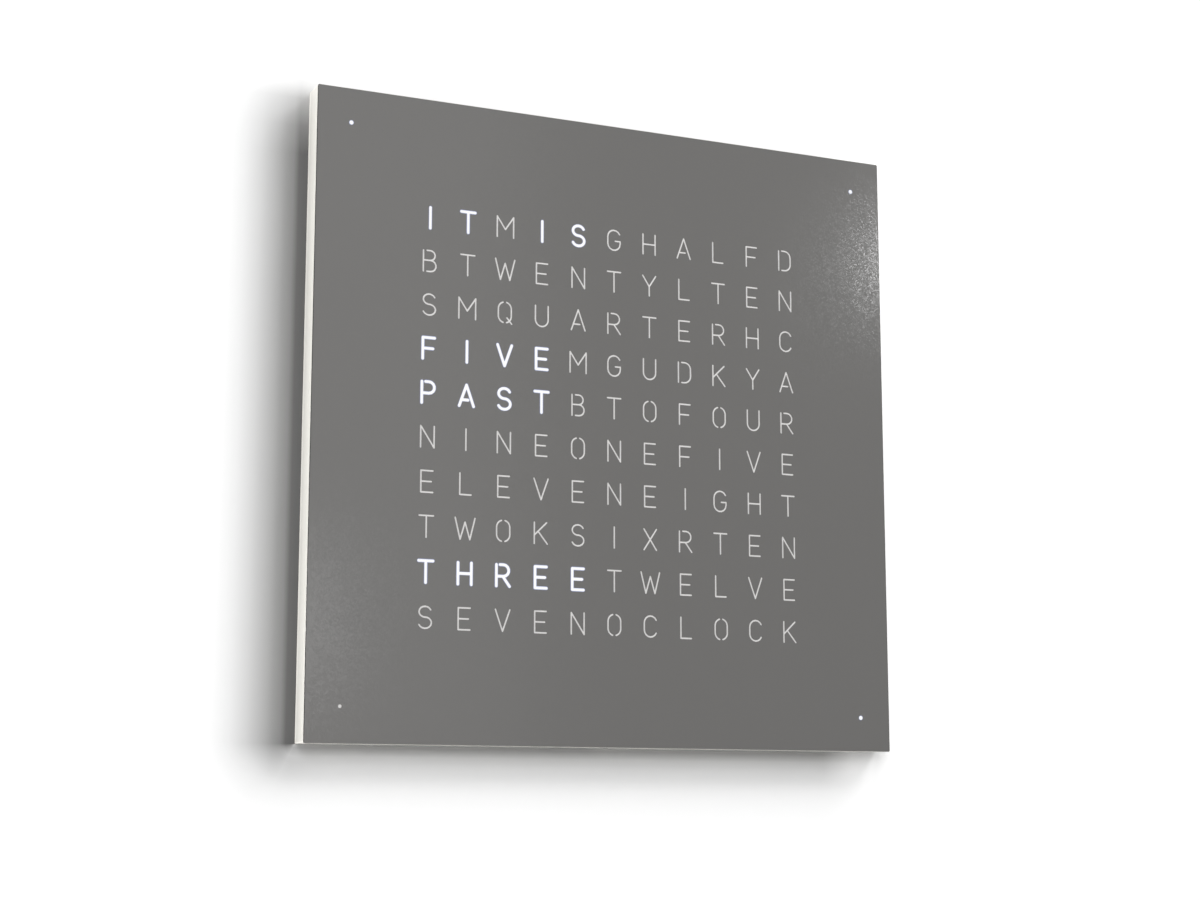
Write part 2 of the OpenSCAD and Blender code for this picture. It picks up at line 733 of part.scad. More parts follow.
module brightness_switch_stem() color("#b9babd") hung() switch_stem(2);

module mode_switch_stem() color("#b9babd") hung() switch_stem(3);

front_cover();
diffuser_sheet();
cover_pins();
frame_top_side();
frame_bottom_side();
frame_left_side();
frame_right_side();
back_panel();
back_panel_screws();
hanger_rail();
hanger_plates();
hanger_screws();
cover_magnets();
pin_bushes();
light_grid();
grid_screws();
led_board();
led_chips();
light_sensor();
corner_light_tubes();
corner_led_boards();
corner_led_chips();
corner_leads();
controller_board();
board_standoffs();
board_screws();
microcontroller();
driver_chips();
capacitors();
coin_cell_holder();
coin_cell();
board_headers();
ribbon_cable();
cable_tray();
power_socket();
socket_pin();
socket_nut();
power_lead();
button_switches();
hours_button();
minutes_button();
brightness_button();
mode_button();
hours_switch_stem();
minutes_switch_stem();
brightness_switch_stem();
mode_switch_stem();
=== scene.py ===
"""Looks of a square wall clock that tells the time in words, lit from behind a steel cover.

Lengths in the dataclasses are millimetres, drawn flat: x to the right, y up, z off the wall.
hang() turns such a point into the row frame, in metres.
"""

import logging
import math
from collections.abc import Callable, Iterator, Sequence
from contextlib import contextmanager
from dataclasses import dataclass, field
from enum import Enum

import bmesh
import bpy
import numpy as np
from mathutils import Euler, Matrix, Vector


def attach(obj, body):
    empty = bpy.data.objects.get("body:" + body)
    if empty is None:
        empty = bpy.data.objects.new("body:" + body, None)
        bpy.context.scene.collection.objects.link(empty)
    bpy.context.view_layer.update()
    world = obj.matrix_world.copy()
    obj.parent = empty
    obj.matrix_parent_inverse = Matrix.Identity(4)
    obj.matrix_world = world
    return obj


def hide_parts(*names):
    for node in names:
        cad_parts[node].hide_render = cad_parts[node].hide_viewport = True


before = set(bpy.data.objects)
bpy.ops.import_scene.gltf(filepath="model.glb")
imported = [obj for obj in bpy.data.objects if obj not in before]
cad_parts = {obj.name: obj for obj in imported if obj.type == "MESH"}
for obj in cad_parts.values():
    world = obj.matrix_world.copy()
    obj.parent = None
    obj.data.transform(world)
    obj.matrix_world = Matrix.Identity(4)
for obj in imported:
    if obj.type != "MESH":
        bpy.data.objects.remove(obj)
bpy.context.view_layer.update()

MM = 0.001
LOG = logging.getLogger("word_clock")

Point = tuple[float, float]
Colour = tuple[float, float, float]
Place = tuple[float, float, float]
Stroke = list[Point]
Socket = bpy.types.NodeSocket


class Body(Enum):
    """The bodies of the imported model."""

    CASE = "case"
    COVER = "cover"
    HOURS = "hours_push"
    MINUTES = "minutes_push"
    BRIGHTNESS = "brightness_push"
    MODE = "mode_push"


class Axis(Enum):
    """The way a round piece points, as a turn from the row frame's Z."""

    OFF_WALL = (math.pi / 2, 0.0, 0.0)
    DOWN = (math.pi, 0.0, 0.0)
    RIGHT = (0.0, math.pi / 2, 0.0)

    def way(self) -> Vector:
        """Returns the direction as a unit vector in the row frame."""
        return Euler(self.value).to_matrix() @ Vector((0, 0, 1))


def hang(x: float, y: float, z: float) -> Vector:
    """Turns a flat point in millimetres into the row frame, in metres.

    Args:
        x: distance to the right of the middle.
        y: distance above the middle.
        z: distance off the wall.

    Returns:
        The point in the row frame.
    """
    return Vector((x, -z, y)) * MM


# ---------------------------------------------------------------- modelling by hand


def pick_object(*objects: bpy.types.Object) -> bpy.types.Object:
    """Selects these objects alone and makes the first one active.

    Args:
        objects: the objects to select.

    Returns:
        The active object.
    """
    bpy.ops.object.select_all(action="DESELECT")
    for obj in objects:
        obj.select_set(True)
    bpy.context.view_layer.objects.active = objects[0]
    return objects[0]


def named(name: str) -> bpy.types.Object:
    """Names the object that was just added and puts its place into its mesh.

    Args:
        name: the piece's name.

    Returns:
        The object.
    """
    obj = bpy.context.active_object
    obj.name = obj.data.name = name
    pick_object(obj)
    bpy.ops.object.transform_apply(location=True, rotation=True, scale=True)
    return obj


def add_block(name: str, low: Vector, high: Vector) -> bpy.types.Object:
    """Adds a box between two corners.

    Args:
        name: the piece's name.
        low: one corner in the row frame.
        high: the other corner.

    Returns:
        The new box.
    """
    size = Vector([abs(h - l) for l, h in zip(low, high)])
    bpy.ops.mesh.primitive_cube_add(size=1, location=(low + high) / 2, scale=size)
    return named(name)


@contextmanager
def editing(obj: bpy.types.Object, mode: str = "FACE") -> Iterator[None]:
    """Opens one object in edit mode, with nothing selected.

    Args:
        obj: the object to edit.
        mode: what is selected: VERT, EDGE or FACE.
    """
    pick_object(obj)
    bpy.ops.object.mode_set(mode="EDIT")
    bpy.ops.mesh.select_mode(type=mode)
    bpy.ops.mesh.select_all(action="DESELECT")
    try:
        yield
    finally:
        bpy.ops.object.mode_set(mode="OBJECT")


def select_faces(obj: bpy.types.Object, test: Callable[[Vector, Vector], bool]) -> None:
    """Selects the faces of the edited object by their middle and normal.

    Args:
        obj: the object in edit mode.
        test: says of a middle and a normal if that face is selected.
    """
    shape = bmesh.from_edit_mesh(obj.data)
    for face in shape.faces:
        face.select_set(test(face.calc_center_median(), face.normal))
    bmesh.update_edit_mesh(obj.data)


def select_edges(obj: bpy.types.Object, test: Callable[[Vector, Vector], bool]) -> None:
    """Selects the edges of the edited object by their two ends.

    Args:
        obj: the object in edit mode.
        test: says of the two ends if that edge is selected.
    """
    shape = bmesh.from_edit_mesh(obj.data)
    for edge in shape.edges:
        edge.select_set(test(edge.verts[0].co, edge.verts[1].co))
    bmesh.update_edit_mesh(obj.data)


def apply_all(obj: bpy.types.Object) -> bpy.types.Object:
    """Applies every modifier of an object, in order.

    Args:
        obj: the object.

    Returns:
        The same object.
    """
    pick_object(obj)
    for modifier in list(obj.modifiers):
        bpy.ops.object.modifier_apply(modifier=modifier.name)
    return obj


def cut_with(obj: bpy.types.Object, cutter: bpy.types.Object, way: str = "DIFFERENCE") -> bpy.types.Object:
    """Cuts one mesh out of another, or joins it on, and removes the cutter.

    Args:
        obj: the object that is cut.
        cutter: the other shape, whose own parts may overlap.
        way: DIFFERENCE or UNION.

    Returns:
        The object that was cut.
    """
    modifier = obj.modifiers.new("cut", "BOOLEAN")
    modifier.operation = way
    modifier.solver = "EXACT"
    modifier.use_self = True
    modifier.object = cutter
    apply_all(obj)
    bpy.data.objects.remove(cutter)
    return obj


def soften(
    obj: bpy.types.Object, width: float, steps: int = 2, angle: float = 35.0
) -> bpy.types.Object:
    """Rounds the sharp edges of a mesh and smooths its shading.

    Args:
        obj: the object.
        width: width of the rounding in millimetres.
        steps: faces across the rounding.
        angle: edges sharper than this, in degrees, are rounded.

    Returns:
        The same object.
    """
    modifier = obj.modifiers.new("soften", "BEVEL")
    modifier.width = width * MM
    modifier.segments = steps
    modifier.limit_method = "ANGLE"
    modifier.angle_limit = math.radians(angle)
    modifier.use_clamp_overlap = True
    apply_all(obj)
    bpy.ops.object.shade_smooth_by_angle(angle=math.radians(angle))
    return obj


def join(name: str, parts: Sequence[bpy.types.Object]) -> bpy.types.Object:
    """Joins several meshes into one object.

    Args:
        name: the joined piece's name.
        parts: the meshes.

    Returns:
        The joined object.
    """
    pick_object(*parts)
    if len(parts) > 1:
        bpy.ops.object.join()
    obj = bpy.context.active_object
    obj.name = obj.data.name = name
    return obj


def copies(
    name: str, pattern: bpy.types.Object, places: Sequence[Matrix]
) -> bpy.types.Object:
    """Puts a copy of a finished shape at each place, and removes the pattern.

    Args:
        name: the joined piece's name.
        pattern: the shape, modelled once round the origin.
        places: where each copy goes.

    Returns:
        One object that holds all the copies.
    """
    made = []
    for place in places:
        pick_object(pattern)
        bpy.ops.object.duplicate(linked=False)
        twin = bpy.context.active_object
        twin.data.transform(place)
        made.append(twin)
    bpy.data.objects.remove(pattern)
    return join(name, made)


def at(point: Vector, turn: float = 0.0, axis: str = "Y") -> Matrix:
    """Returns a place: a turn about an axis through the origin, then a move.

    Args:
        point: where the origin goes.
        turn: the turn in radians.
        axis: X, Y or Z.
    """
    return Matrix.Translation(point) @ Matrix.Rotation(turn, 4, axis)


def merged_copy(name: str, node: str) -> bpy.types.Object:
    """Copies a CAD node's mesh, closes its seams and clears its flat faces of extra edges.

    Args:
        name: the new piece's name.
        node: the CAD node.

    Returns:
        The new object.
    """
    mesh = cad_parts[node].data.copy()
    mesh.materials.clear()
    obj = bpy.data.objects.new(name, mesh)
    mesh.name = name
    bpy.context.scene.collection.objects.link(obj)
    with editing(obj, "VERT"):
        bpy.ops.mesh.select_all(action="SELECT")
        bpy.ops.mesh.remove_doubles(threshold=2e-6)
        bpy.ops.mesh.dissolve_limited(angle_limit=math.radians(1.0))
    return obj


# ---------------------------------------------------------------- finishes


@dataclass
class Bench:
    """A node tree that is being wired."""

    tree: bpy.types.NodeTree

    def add(
        self, kind: str, inputs: dict[str | int, object] | None = None, **settings: object
    ) -> bpy.types.Node:
        """Adds a node, sets its options, and sets or links its inputs.

        Args:
            kind: the node type.
            inputs: values or sockets for the node's inputs.
            settings: the node's own options.

        Returns:
            The node.
        """
        node = self.tree.nodes.new(kind)
        for key, value in settings.items():
            setattr(node, key, value)
        for key, value in (inputs or {}).items():
            if isinstance(value, bpy.types.NodeSocket):
                self.tree.links.new(value, node.inputs[key])
            else:
                node.inputs[key].default_value = value
        return node

    def place(self) -> Socket:
        """Returns the piece's own coordinates, in metres."""
        return self.add("ShaderNodeTexCoord").outputs["Object"]

    def ramp(self, value: Socket, low: float, high: float, out: tuple[float, float] = (0.0, 1.0)) -> Socket:
        """Maps a value's range to another, and clamps it.

        Args:
            value: the value.
            low: what becomes the first output.
            high: what becomes the second output.
            out: the two outputs.

        Returns:
            The mapped value.
        """
        node = self.add("ShaderNodeMapRange", {0: value, 1: low, 2: high, 3: out[0], 4: out[1]})
        return node.outputs[0]

    def curve(self, value: Socket, start: float, end: float, stops: tuple[Point, ...]) -> Socket:
        """Reads a value off a line of straight stretches.

        Args:
            value: the value.
            start: where the line begins.
            end: where it ends.
            stops: the points of the line, each a value and what it becomes.

        Returns:
            What the value becomes.
        """
        node = self.add("ShaderNodeValToRGB", {0: self.ramp(value, start, end)})
        points = node.color_ramp.elements
        while len(points) < len(stops):
            points.new(0.5)
        for point, (at_value, result) in zip(points, stops):
            point.position = (at_value - start) / (end - start)
            point.color = (result, result, result, 1.0)
        return node.outputs[0]

    def math(self, operation: str, a: object, b: object = 0.0, c: object = 0.0) -> Socket:
        """Returns a sum, product or other result of numbers or sockets."""
        return self.add("ShaderNodeMath", {0: a, 1: b, 2: c}, operation=operation).outputs[0]

    def mix(self, share: object, a: object, b: object, blend: str = "MIX") -> Socket:
        """Mixes two colours.

        Args:
            share: how much of the second.
            a: the first colour.
            b: the second colour.
            blend: how they mix.

        Returns:
            The mixed colour.
        """
        node = self.add("ShaderNodeMix", data_type="RGBA", blend_type=blend)
        for key, value in ((0, share), (6, a), (7, b)):
            if isinstance(value, bpy.types.NodeSocket):
                self.tree.links.new(value, node.inputs[key])
            elif isinstance(value, tuple):
                node.inputs[key].default_value = (*value, 1.0)
            else:
                node.inputs[key].default_value = value
        return node.outputs[2]

    def grey(self, shade: object) -> Socket:
        """Returns a shade as a grey colour."""
        return self.add("ShaderNodeCombineColor", {0: shade, 1: shade, 2: shade}).outputs[0]

    def noise(self, where: Socket, size_mm: float, detail: float = 3.0, rough: float = 0.55) -> Socket:
        """Returns a noise whose blobs are about that many millimetres across."""
        return self.add("ShaderNodeTexNoise", {
            "Vector": where, "Scale": 1 / (size_mm * MM), "Detail": detail, "Roughness": rough,
        }).outputs["Fac"]


def effect(
    name: str, inputs: dict[str, float], outputs: Sequence[str],
    wire: Callable[[Bench, bpy.types.Node], dict[str, Socket]],
) -> bpy.types.NodeTree:
    """Builds a shader node group once and returns it from then on.

    Args:
        name: the group's name.
        inputs: the names of its number inputs and their defaults.
        outputs: the names of its value outputs.
        wire: wires the group and returns the socket for each output.

    Returns:
        The node group.
    """
    if name in bpy.data.node_groups:
        return bpy.data.node_groups[name]
    tree = bpy.data.node_groups.new(name, "ShaderNodeTree")
    for key, value in inputs.items():
        socket = tree.interface.new_socket(name=key, in_out="INPUT", socket_type="NodeSocketFloat")
        socket.default_value = value
    for key in outputs:
        tree.interface.new_socket(name=key, in_out="OUTPUT", socket_type="NodeSocketFloat")
    bench = Bench(tree)
    made = wire(bench, tree.nodes.new("NodeGroupInput"))
    end = tree.nodes.new("NodeGroupOutput")
    for key, socket in made.items():
        tree.links.new(socket, end.inputs[key])
    return tree


def wire_grain(bench: Bench, given: bpy.types.Node) -> dict[str, Socket]:
    """Wires the fine grain of a sprayed or moulded surface.

    Args:
        bench: the group's tree.
        given: the node that holds the group's inputs.

    Returns:
        A socket for each output.
    """
    where = bench.place()
    scale = bench.math("DIVIDE", 1 / MM, given.outputs["Size"])
    coarse = bench.add("ShaderNodeTexNoise", {
        "Vector": where, "Scale": scale, "Detail": 2.0, "Roughness": 0.5}).outputs["Fac"]
    cells = bench.add("ShaderNodeTexVoronoi", {
        "Vector": where, "Scale": bench.math("MULTIPLY", scale, 1.35)},
        feature="SMOOTH_F1").outputs["Distance"]
    height = bench.math("ADD", bench.math("MULTIPLY", coarse, 0.6), bench.math("MULTIPLY", cells, 0.5))
    cloud = bench.noise(where, 60.0, 3.0)
    return {"Height": height, "Fleck": bench.ramp(coarse, 0.35, 0.7), "Cloud": cloud}


def wire_smudge(bench: Bench, given: bpy.types.Node) -> dict[str, Socket]:
    """Wires the soft cloudiness of a handled surface, and its dust.

    Args:
        bench: the group's tree.
        given: the node that holds the group's inputs.

    Returns:
        A socket for each output.
    """
    where = bench.place()
    big = bench.noise(where, 35.0, 4.0, 0.6)
    small = bench.noise(where, 2.5, 5.0, 0.7)
    mask = bench.math("MULTIPLY", bench.ramp(big, 0.35, 0.75), bench.ramp(small, 0.3, 0.8))
    return {"Mask": bench.math("MULTIPLY", mask, given.outputs["Amount"])}


def wire_strands(bench: Bench, given: bpy.types.Node) -> dict[str, Socket]:
    """Wires long fibres that run across the object, as in wood or brushed metal.

    Args:
        bench: the group's tree.
        given: the node that holds the group's inputs.

    Returns:
        A socket for each output.
    """
    where = bench.place()
    drawn = bench.add("ShaderNodeVectorMath", {0: where, 1: (1.0, 14.0, 14.0)}, operation="MULTIPLY")
    stretch = drawn.outputs[0]
    scale = bench.math("DIVIDE", 1 / MM, given.outputs["Size"])
    fine = bench.add("ShaderNodeTexNoise", {
        "Vector": stretch, "Scale": scale, "Detail": 6.0, "Roughness": 0.65,
        "Distortion": 0.4}).outputs["Fac"]
    broad = bench.add("ShaderNodeTexNoise", {
        "Vector": stretch, "Scale": bench.math("MULTIPLY", scale, 0.18), "Detail": 3.0}).outputs["Fac"]
    return {"Fine": fine, "Broad": broad}


@dataclass(frozen=True)
class Finish:
    """A painted, moulded or metal surface with a fine grain.

    Colours are linear. Lengths are millimetres.
    """

    name: str
    colour: Colour
    roughness: float = 0.5
    metallic: float = 0.0
    grain_mm: float = 1.0
    bump: float = 0.1
    bump_mm: float = 0.02
    fleck: float = 0.04
    cloud: float = 0.06
    smudge: float = 0.1
    coat: float = 0.0
    specular: float = 0.5
    facet: float = 0.0
    facet_mm: float = 1.0

    def principled(self, bench: Bench) -> bpy.types.Node:
        """Adds the shader with its constant sockets set.

        Args:
            bench: the material's tree.

        Returns:
            The shader.
        """
        shader = bench.add("ShaderNodeBsdfPrincipled")
        shader.inputs["Metallic"].default_value = self.metallic
        shader.inputs["Coat Weight"].default_value = self.coat
        shader.inputs["Coat Roughness"].default_value = 0.12
        shader.inputs["Specular IOR Level"].default_value = self.specular
        return shader

    def surface(self, bench: Bench) -> tuple[Socket, Socket, Socket]:
        """Wires the colour, the roughness and the height of the surface.

        Args:
            bench: the material's tree.

        Returns:
            Sockets for the colour, the roughness and the height.
        """
        grain = bench.add("ShaderNodeGroup", node_tree=effect(
            "grain", {"Size": 1.0}, ("Height", "Fleck", "Cloud"), wire_grain))
        grain.inputs["Size"].default_value = self.grain_mm
        smudge = bench.add("ShaderNodeGroup", node_tree=effect(
            "smudge", {"Amount": 1.0}, ("Mask",), wire_smudge))
        smudge.inputs["Amount"].default_value = self.smudge
        dark = tuple(c * (1 - self.fleck) for c in self.colour)
        light = tuple(min(1.0, c * (1 + self.fleck)) for c in self.colour)
        flecked = bench.mix(grain.outputs["Fleck"], dark, light)
        shade = bench.ramp(grain.outputs["Cloud"], 0.3, 0.7, (1 - self.cloud, 1 + self.cloud))
        colour = bench.mix(1.0, flecked, bench.grey(shade), "MULTIPLY")
        spread = (self.roughness * 0.94, self.roughness * 1.06)
        uneven = bench.ramp(grain.outputs["Fleck"], 0.0, 1.0, spread)
        rough = bench.math("ADD", bench.math("MULTIPLY", smudge.outputs["Mask"], 0.5), uneven)
        return colour, rough, grain.outputs["Height"]

    def glitter(self, bench: Bench, normal: Socket) -> Socket:
        """Tilts the grains of a sprayed coat, so that a small lamp glitters in it.

        Args:
            bench: the material's tree.
            normal: the way the surface faces.

        Returns:
            The way its grains face.
        """
        grains = bench.add("ShaderNodeTexVoronoi", {
            "Vector": bench.place(), "Scale": 1 / (self.facet_mm * MM)})
        tilt: Socket = grains.outputs["Color"]
        for operation, amount in (("SUBTRACT", 0.5), ("MULTIPLY", self.facet)):
            step = bench.add("ShaderNodeVectorMath", {0: tilt, 1: (amount,) * 3}, operation=operation)
            tilt = step.outputs[0]
        tilted = bench.add("ShaderNodeVectorMath", {0: normal, 1: tilt}, operation="ADD").outputs[0]
        return bench.add("ShaderNodeVectorMath", {0: tilted}, operation="NORMALIZE").outputs[0]

    def material(self) -> bpy.types.Material:
        """Makes the material, or finds it if it is made already.

        Returns:
            The material.
        """
        title = f"{self.name}_finish"
        if title in bpy.data.materials:
            return bpy.data.materials[title]
        material = bpy.data.materials.new(title)
        material.use_nodes = True
        bench = Bench(material.node_tree)
        bench.tree.nodes.clear()
        shader = self.principled(bench)
        colour, rough, height = self.surface(bench)
        bump = bench.add("ShaderNodeBump", {
            "Strength": self.bump, "Distance": self.bump_mm * MM, "Height": height})
        normal = self.glitter(bench, bump.outputs[0]) if self.facet else bump.outputs[0]
        link = bench.tree.links.new
        link(colour, shader.inputs["Base Color"])
        link(rough, shader.inputs["Roughness"])
        link(normal, shader.inputs["Normal"])
        bench.add("ShaderNodeOutputMaterial", {"Surface": shader.outputs[0]})
        return material


@dataclass(frozen=True)
class PaintedEdgeLight(Finish):
    """A coat that is paler or darker along the outer edges of the clock: painted light on an edge where it
    is paler, painted shade where it is darker.

    Each width is that of the band at one pair of edges, and none where it is zero.
    """

    painted_edge_tone: float = 1.0
    reach_mm: float = 225.0
    side_mm: float = 0.0
    end_mm: float = 0.0
    back_mm: float = 0.0

    def surface(self, bench: Bench) -> tuple[Socket, Socket, Socket]:
        """Wires the bands of painted edge light and shade over the plain surface.

        Args:
            bench: the material's tree.

        Returns:
            Sockets for the colour, the roughness and the height.
        """
        colour, rough, height = super().surface(bench)
        x, y, z = bench.add("ShaderNodeSeparateXYZ", {0: bench.place()}).outputs
        bands = ((bench.math("ABSOLUTE", x), self.reach_mm, self.side_mm),
                 (bench.math("ABSOLUTE", z), self.reach_mm, self.end_mm), (y, 0.0, self.back_mm))
        share: object = 0.0
        for along, edge, width in bands:
            if width:
                band = bench.ramp(along, (edge - width) * MM, (edge - 0.7 * width) * MM)
                share = bench.math("MAXIMUM", share, band)
        # the bands' painted light or shade multiplies the colour
        shade = bench.ramp(share, 0.0, 1.0, (1.0, self.painted_edge_tone))
        return bench.mix(1.0, colour, bench.grey(shade), "MULTIPLY"), rough, height


@dataclass(frozen=True)
class Fibre(Finish):
    """A surface of long strands or fibres: bare wood, hardboard or brushed metal."""

    strand_mm: float = 9.0
    strand_colour: Colour = (0.3, 0.2, 0.1)
    strand_share: float = 0.6

    def surface(self, bench: Bench) -> tuple[Socket, Socket, Socket]:
        """Wires the strands over the plain surface.

        Args:
            bench: the material's tree.

        Returns:
            Sockets for the colour, the roughness and the height.
        """
        colour, rough, height = super().surface(bench)
        strands = bench.add("ShaderNodeGroup", node_tree=effect(
            "strands", {"Size": 9.0}, ("Fine", "Broad"), wire_strands))
        strands.inputs["Size"].default_value = self.strand_mm
        share = bench.math("MULTIPLY", bench.ramp(strands.outputs["Fine"], 0.35, 0.72), self.strand_share)
        colour = bench.mix(share, colour, self.strand_colour)
        broad = bench.ramp(strands.outputs["Broad"], 0.3, 0.7, (0.88, 1.08))
        colour = bench.mix(1.0, colour, bench.grey(broad), "MULTIPLY")
        height = bench.math("ADD", height, strands.outputs["Fine"])
        return colour, rough, height


@dataclass(frozen=True)
class Ribbed(Finish):
    """A flat cable: round wires side by side, the lowest of them red, with painted shade in the grooves
    between them.
    """

    pitch_mm: float = 1.4
    low_mm: float = -7.0
    first: Colour = (0.42, 0.03, 0.02)

    def surface(self, bench: Bench) -> tuple[Socket, Socket, Socket]:
        """Wires the ribs over the plain surface, and paints shade into the grooves between them.

        Args:
            bench: the material's tree.

        Returns:
            Sockets for the colour, the roughness and the height.
        """
        colour, rough, _ = super().surface(bench)
        up = bench.add("ShaderNodeSeparateXYZ", {0: bench.place()}).outputs[2]
        along = bench.math("DIVIDE", bench.math("SUBTRACT", up, self.low_mm * MM), self.pitch_mm * MM)
        rib = bench.math("SINE", bench.math("MULTIPLY", bench.math("FRACT", along), math.pi))
        height = bench.math("SQRT", bench.math("MAXIMUM", rib, 0.0))
        # the grooves between the wires are darkened to a quarter: painted shade
        shade = bench.ramp(height, 0.0, 0.75, (0.25, 1.0))
        banded = bench.mix(bench.math("LESS_THAN", along, 1.0), colour, self.first)
        return bench.mix(1.0, banded, bench.grey(shade), "MULTIPLY"), rough, height


@dataclass(frozen=True)
class Tracked(Finish):
    """A circuit board's lacquer, with copper tracks that show paler through it."""

    track: Colour = (0.045, 0.17, 0.075)

    def surface(self, bench: Bench) -> tuple[Socket, Socket, Socket]:
        """Wires the tracks over the plain surface.

        Args:
            bench: the material's tree.

        Returns:
            Sockets for the colour, the roughness and the height.
        """
        colour, rough, height = super().surface(bench)
        apart = bench.add("ShaderNodeSeparateXYZ", {0: bench.place()})
        flat = bench.add("ShaderNodeCombineXYZ", {0: apart.outputs[2], 1: apart.outputs[0]}).outputs[0]
        bricks = bench.add("ShaderNodeTexBrick", {
            "Vector": flat, "Scale": 1.0, "Mortar Size": 0.00022, "Mortar Smooth": 0.15,
            "Brick Width": 0.0118, "Row Height": 0.0019}, offset=0.37, squash=0.6, squash_frequency=3)
        wide = bench.ramp(bench.noise(flat, 14.0, 1.0), 0.42, 0.52)
        tracks = bench.math("MULTIPLY", bricks.outputs["Fac"], wide)
        raised = bench.math("ADD", height, bench.math("MULTIPLY", tracks, 2.0))
        return bench.mix(tracks, colour, self.track), rough, raised


@dataclass(frozen=True)
class Shine(Finish):
    """A surface that shines with its own light, evenly or by its glow attribute."""

    light: Colour = (1.0, 1.0, 1.0)
    strength: float = 1.0
    fades: bool = False

    def material(self) -> bpy.types.Material:
        """Makes the material, or finds it if it is made already.

        Returns:
            The material.
        """
        made = f"{self.name}_finish" in bpy.data.materials
        material = super().material()
        if made:
            return material
        bench = Bench(material.node_tree)
        shader = next(n for n in bench.tree.nodes if n.type == "BSDF_PRINCIPLED")
        shader.inputs["Emission Strength"].default_value = self.strength
        shader.inputs["Emission Color"].default_value = (*self.light, 1.0)
        if self.fades:
            glow = bench.add("ShaderNodeAttribute", attribute_name="glow").outputs["Fac"]
            bench.tree.links.new(glow, shader.inputs["Alpha"])
            colour = bench.mix(bench.ramp(glow, 0.3, 0.9), self.light, (1.0, 1.0, 1.0))
            bench.tree.links.new(colour, shader.inputs["Emission Color"])
        return material


# The plate's left and right rims are darkened to about a third: painted shade.
POWDER_COAT = PaintedEdgeLight("grey_powder_coat", (0.184, 0.181, 0.176), roughness=0.13, grain_mm=1.1,
                    bump=1.0, bump_mm=0.009, fleck=0.004, cloud=0.004, smudge=0.01,
                    facet=0.026, facet_mm=1.05, painted_edge_tone=0.35, side_mm=0.4)
# The frame is paler along its back edge and at its top and bottom ends: painted light on its edges, against
# the shade near the wall.
CREAM_LACQUER = PaintedEdgeLight("cream_lacquer", (0.80, 0.785, 0.735), roughness=0.35, grain_mm=2.4,
                      bump=0.15, bump_mm=0.03, fleck=0.012, cloud=0.02, coat=0.05, specular=0.3,
                      painted_edge_tone=1.22, end_mm=1.2, back_mm=4.2)
OPAL = Finish("opal_film", (0.80, 0.785, 0.775), roughness=0.45, grain_mm=0.8, bump=0.1,
              fleck=0.01, cloud=0.02, smudge=0.02)
BRIGHT_STEEL = Fibre("bright_steel", (0.56, 0.56, 0.55), roughness=0.3, metallic=1.0, grain_mm=0.5,
                     strand_mm=1.5, strand_colour=(0.40, 0.40, 0.40), strand_share=0.35, bump=0.08)
ZINC_STEEL = Fibre("zinc_steel", (0.60, 0.62, 0.63), roughness=0.36, metallic=1.0, grain_mm=0.8,
                   strand_mm=4.0, strand_colour=(0.42, 0.43, 0.46), strand_share=0.4, bump=0.08)
NICKEL = Finish("nickel", (0.66, 0.65, 0.62), roughness=0.2, metallic=1.0, grain_mm=0.6, bump=0.04)
BRASS = Finish("brass", (0.72, 0.50, 0.20), roughness=0.28, metallic=1.0, grain_mm=0.6, bump=0.05)
HARDBOARD = Fibre("hardboard", (0.245, 0.155, 0.082), roughness=0.62, grain_mm=0.7, bump=0.35,
                  bump_mm=0.05, fleck=0.16, cloud=0.1, strand_mm=5.0,
                  strand_colour=(0.16, 0.095, 0.048), strand_share=0.45)
BARE_WOOD = Fibre("bare_wood", (0.60, 0.42, 0.23), roughness=0.6, grain_mm=0.6, bump=0.3,
                  bump_mm=0.05, strand_mm=16.0, strand_colour=(0.42, 0.27, 0.13), strand_share=0.7)
WHITE_PLASTIC = Finish("white_plastic", (0.80, 0.80, 0.78), roughness=0.42, grain_mm=0.6, bump=0.12)
WHITE_BOARD = Finish("white_board", (0.78, 0.79, 0.77), roughness=0.3, grain_mm=0.5, bump=0.05, coat=0.3)
LED_PACKAGE = Finish("led_package", (0.78, 0.72, 0.42), roughness=0.3, grain_mm=0.4, bump=0.03)
BLACK_PLASTIC = Finish("black_plastic", (0.018, 0.018, 0.020), roughness=0.45, grain_mm=0.5, bump=0.2)
GREY_CABLE = Finish("grey_cable", (0.30, 0.31, 0.33), roughness=0.5, grain_mm=0.5, bump=0.1)
GREEN_BOARD = Tracked("green_board", (0.016, 0.085, 0.036), roughness=0.28, grain_mm=0.5, bump=0.06,
                     fleck=0.1, coat=0.5)
SLEEVE = Finish("capacitor_sleeve", (0.035, 0.037, 0.050), roughness=0.3, grain_mm=0.6, bump=0.05)
RED_WIRE = Finish("red_wire", (0.36, 0.025, 0.018), roughness=0.4, grain_mm=0.5, bump=0.08)
BUTTON_PLASTIC = Finish("button_plastic", (0.70, 0.685, 0.63), roughness=0.38, grain_mm=0.6, bump=0.1)
SOLDER = Finish("solder", (0.62, 0.62, 0.60), roughness=0.24, metallic=1.0, grain_mm=0.4, bump=0.1)
RIBBON = Ribbed("ribbon", (0.27, 0.28, 0.30), roughness=0.45, grain_mm=0.5, bump=0.6, bump_mm=0.25)
LETTER_LIGHT = Shine("letter_light", (0.9, 0.9, 0.9), light=(0.90, 0.94, 1.0), strength=4.0)
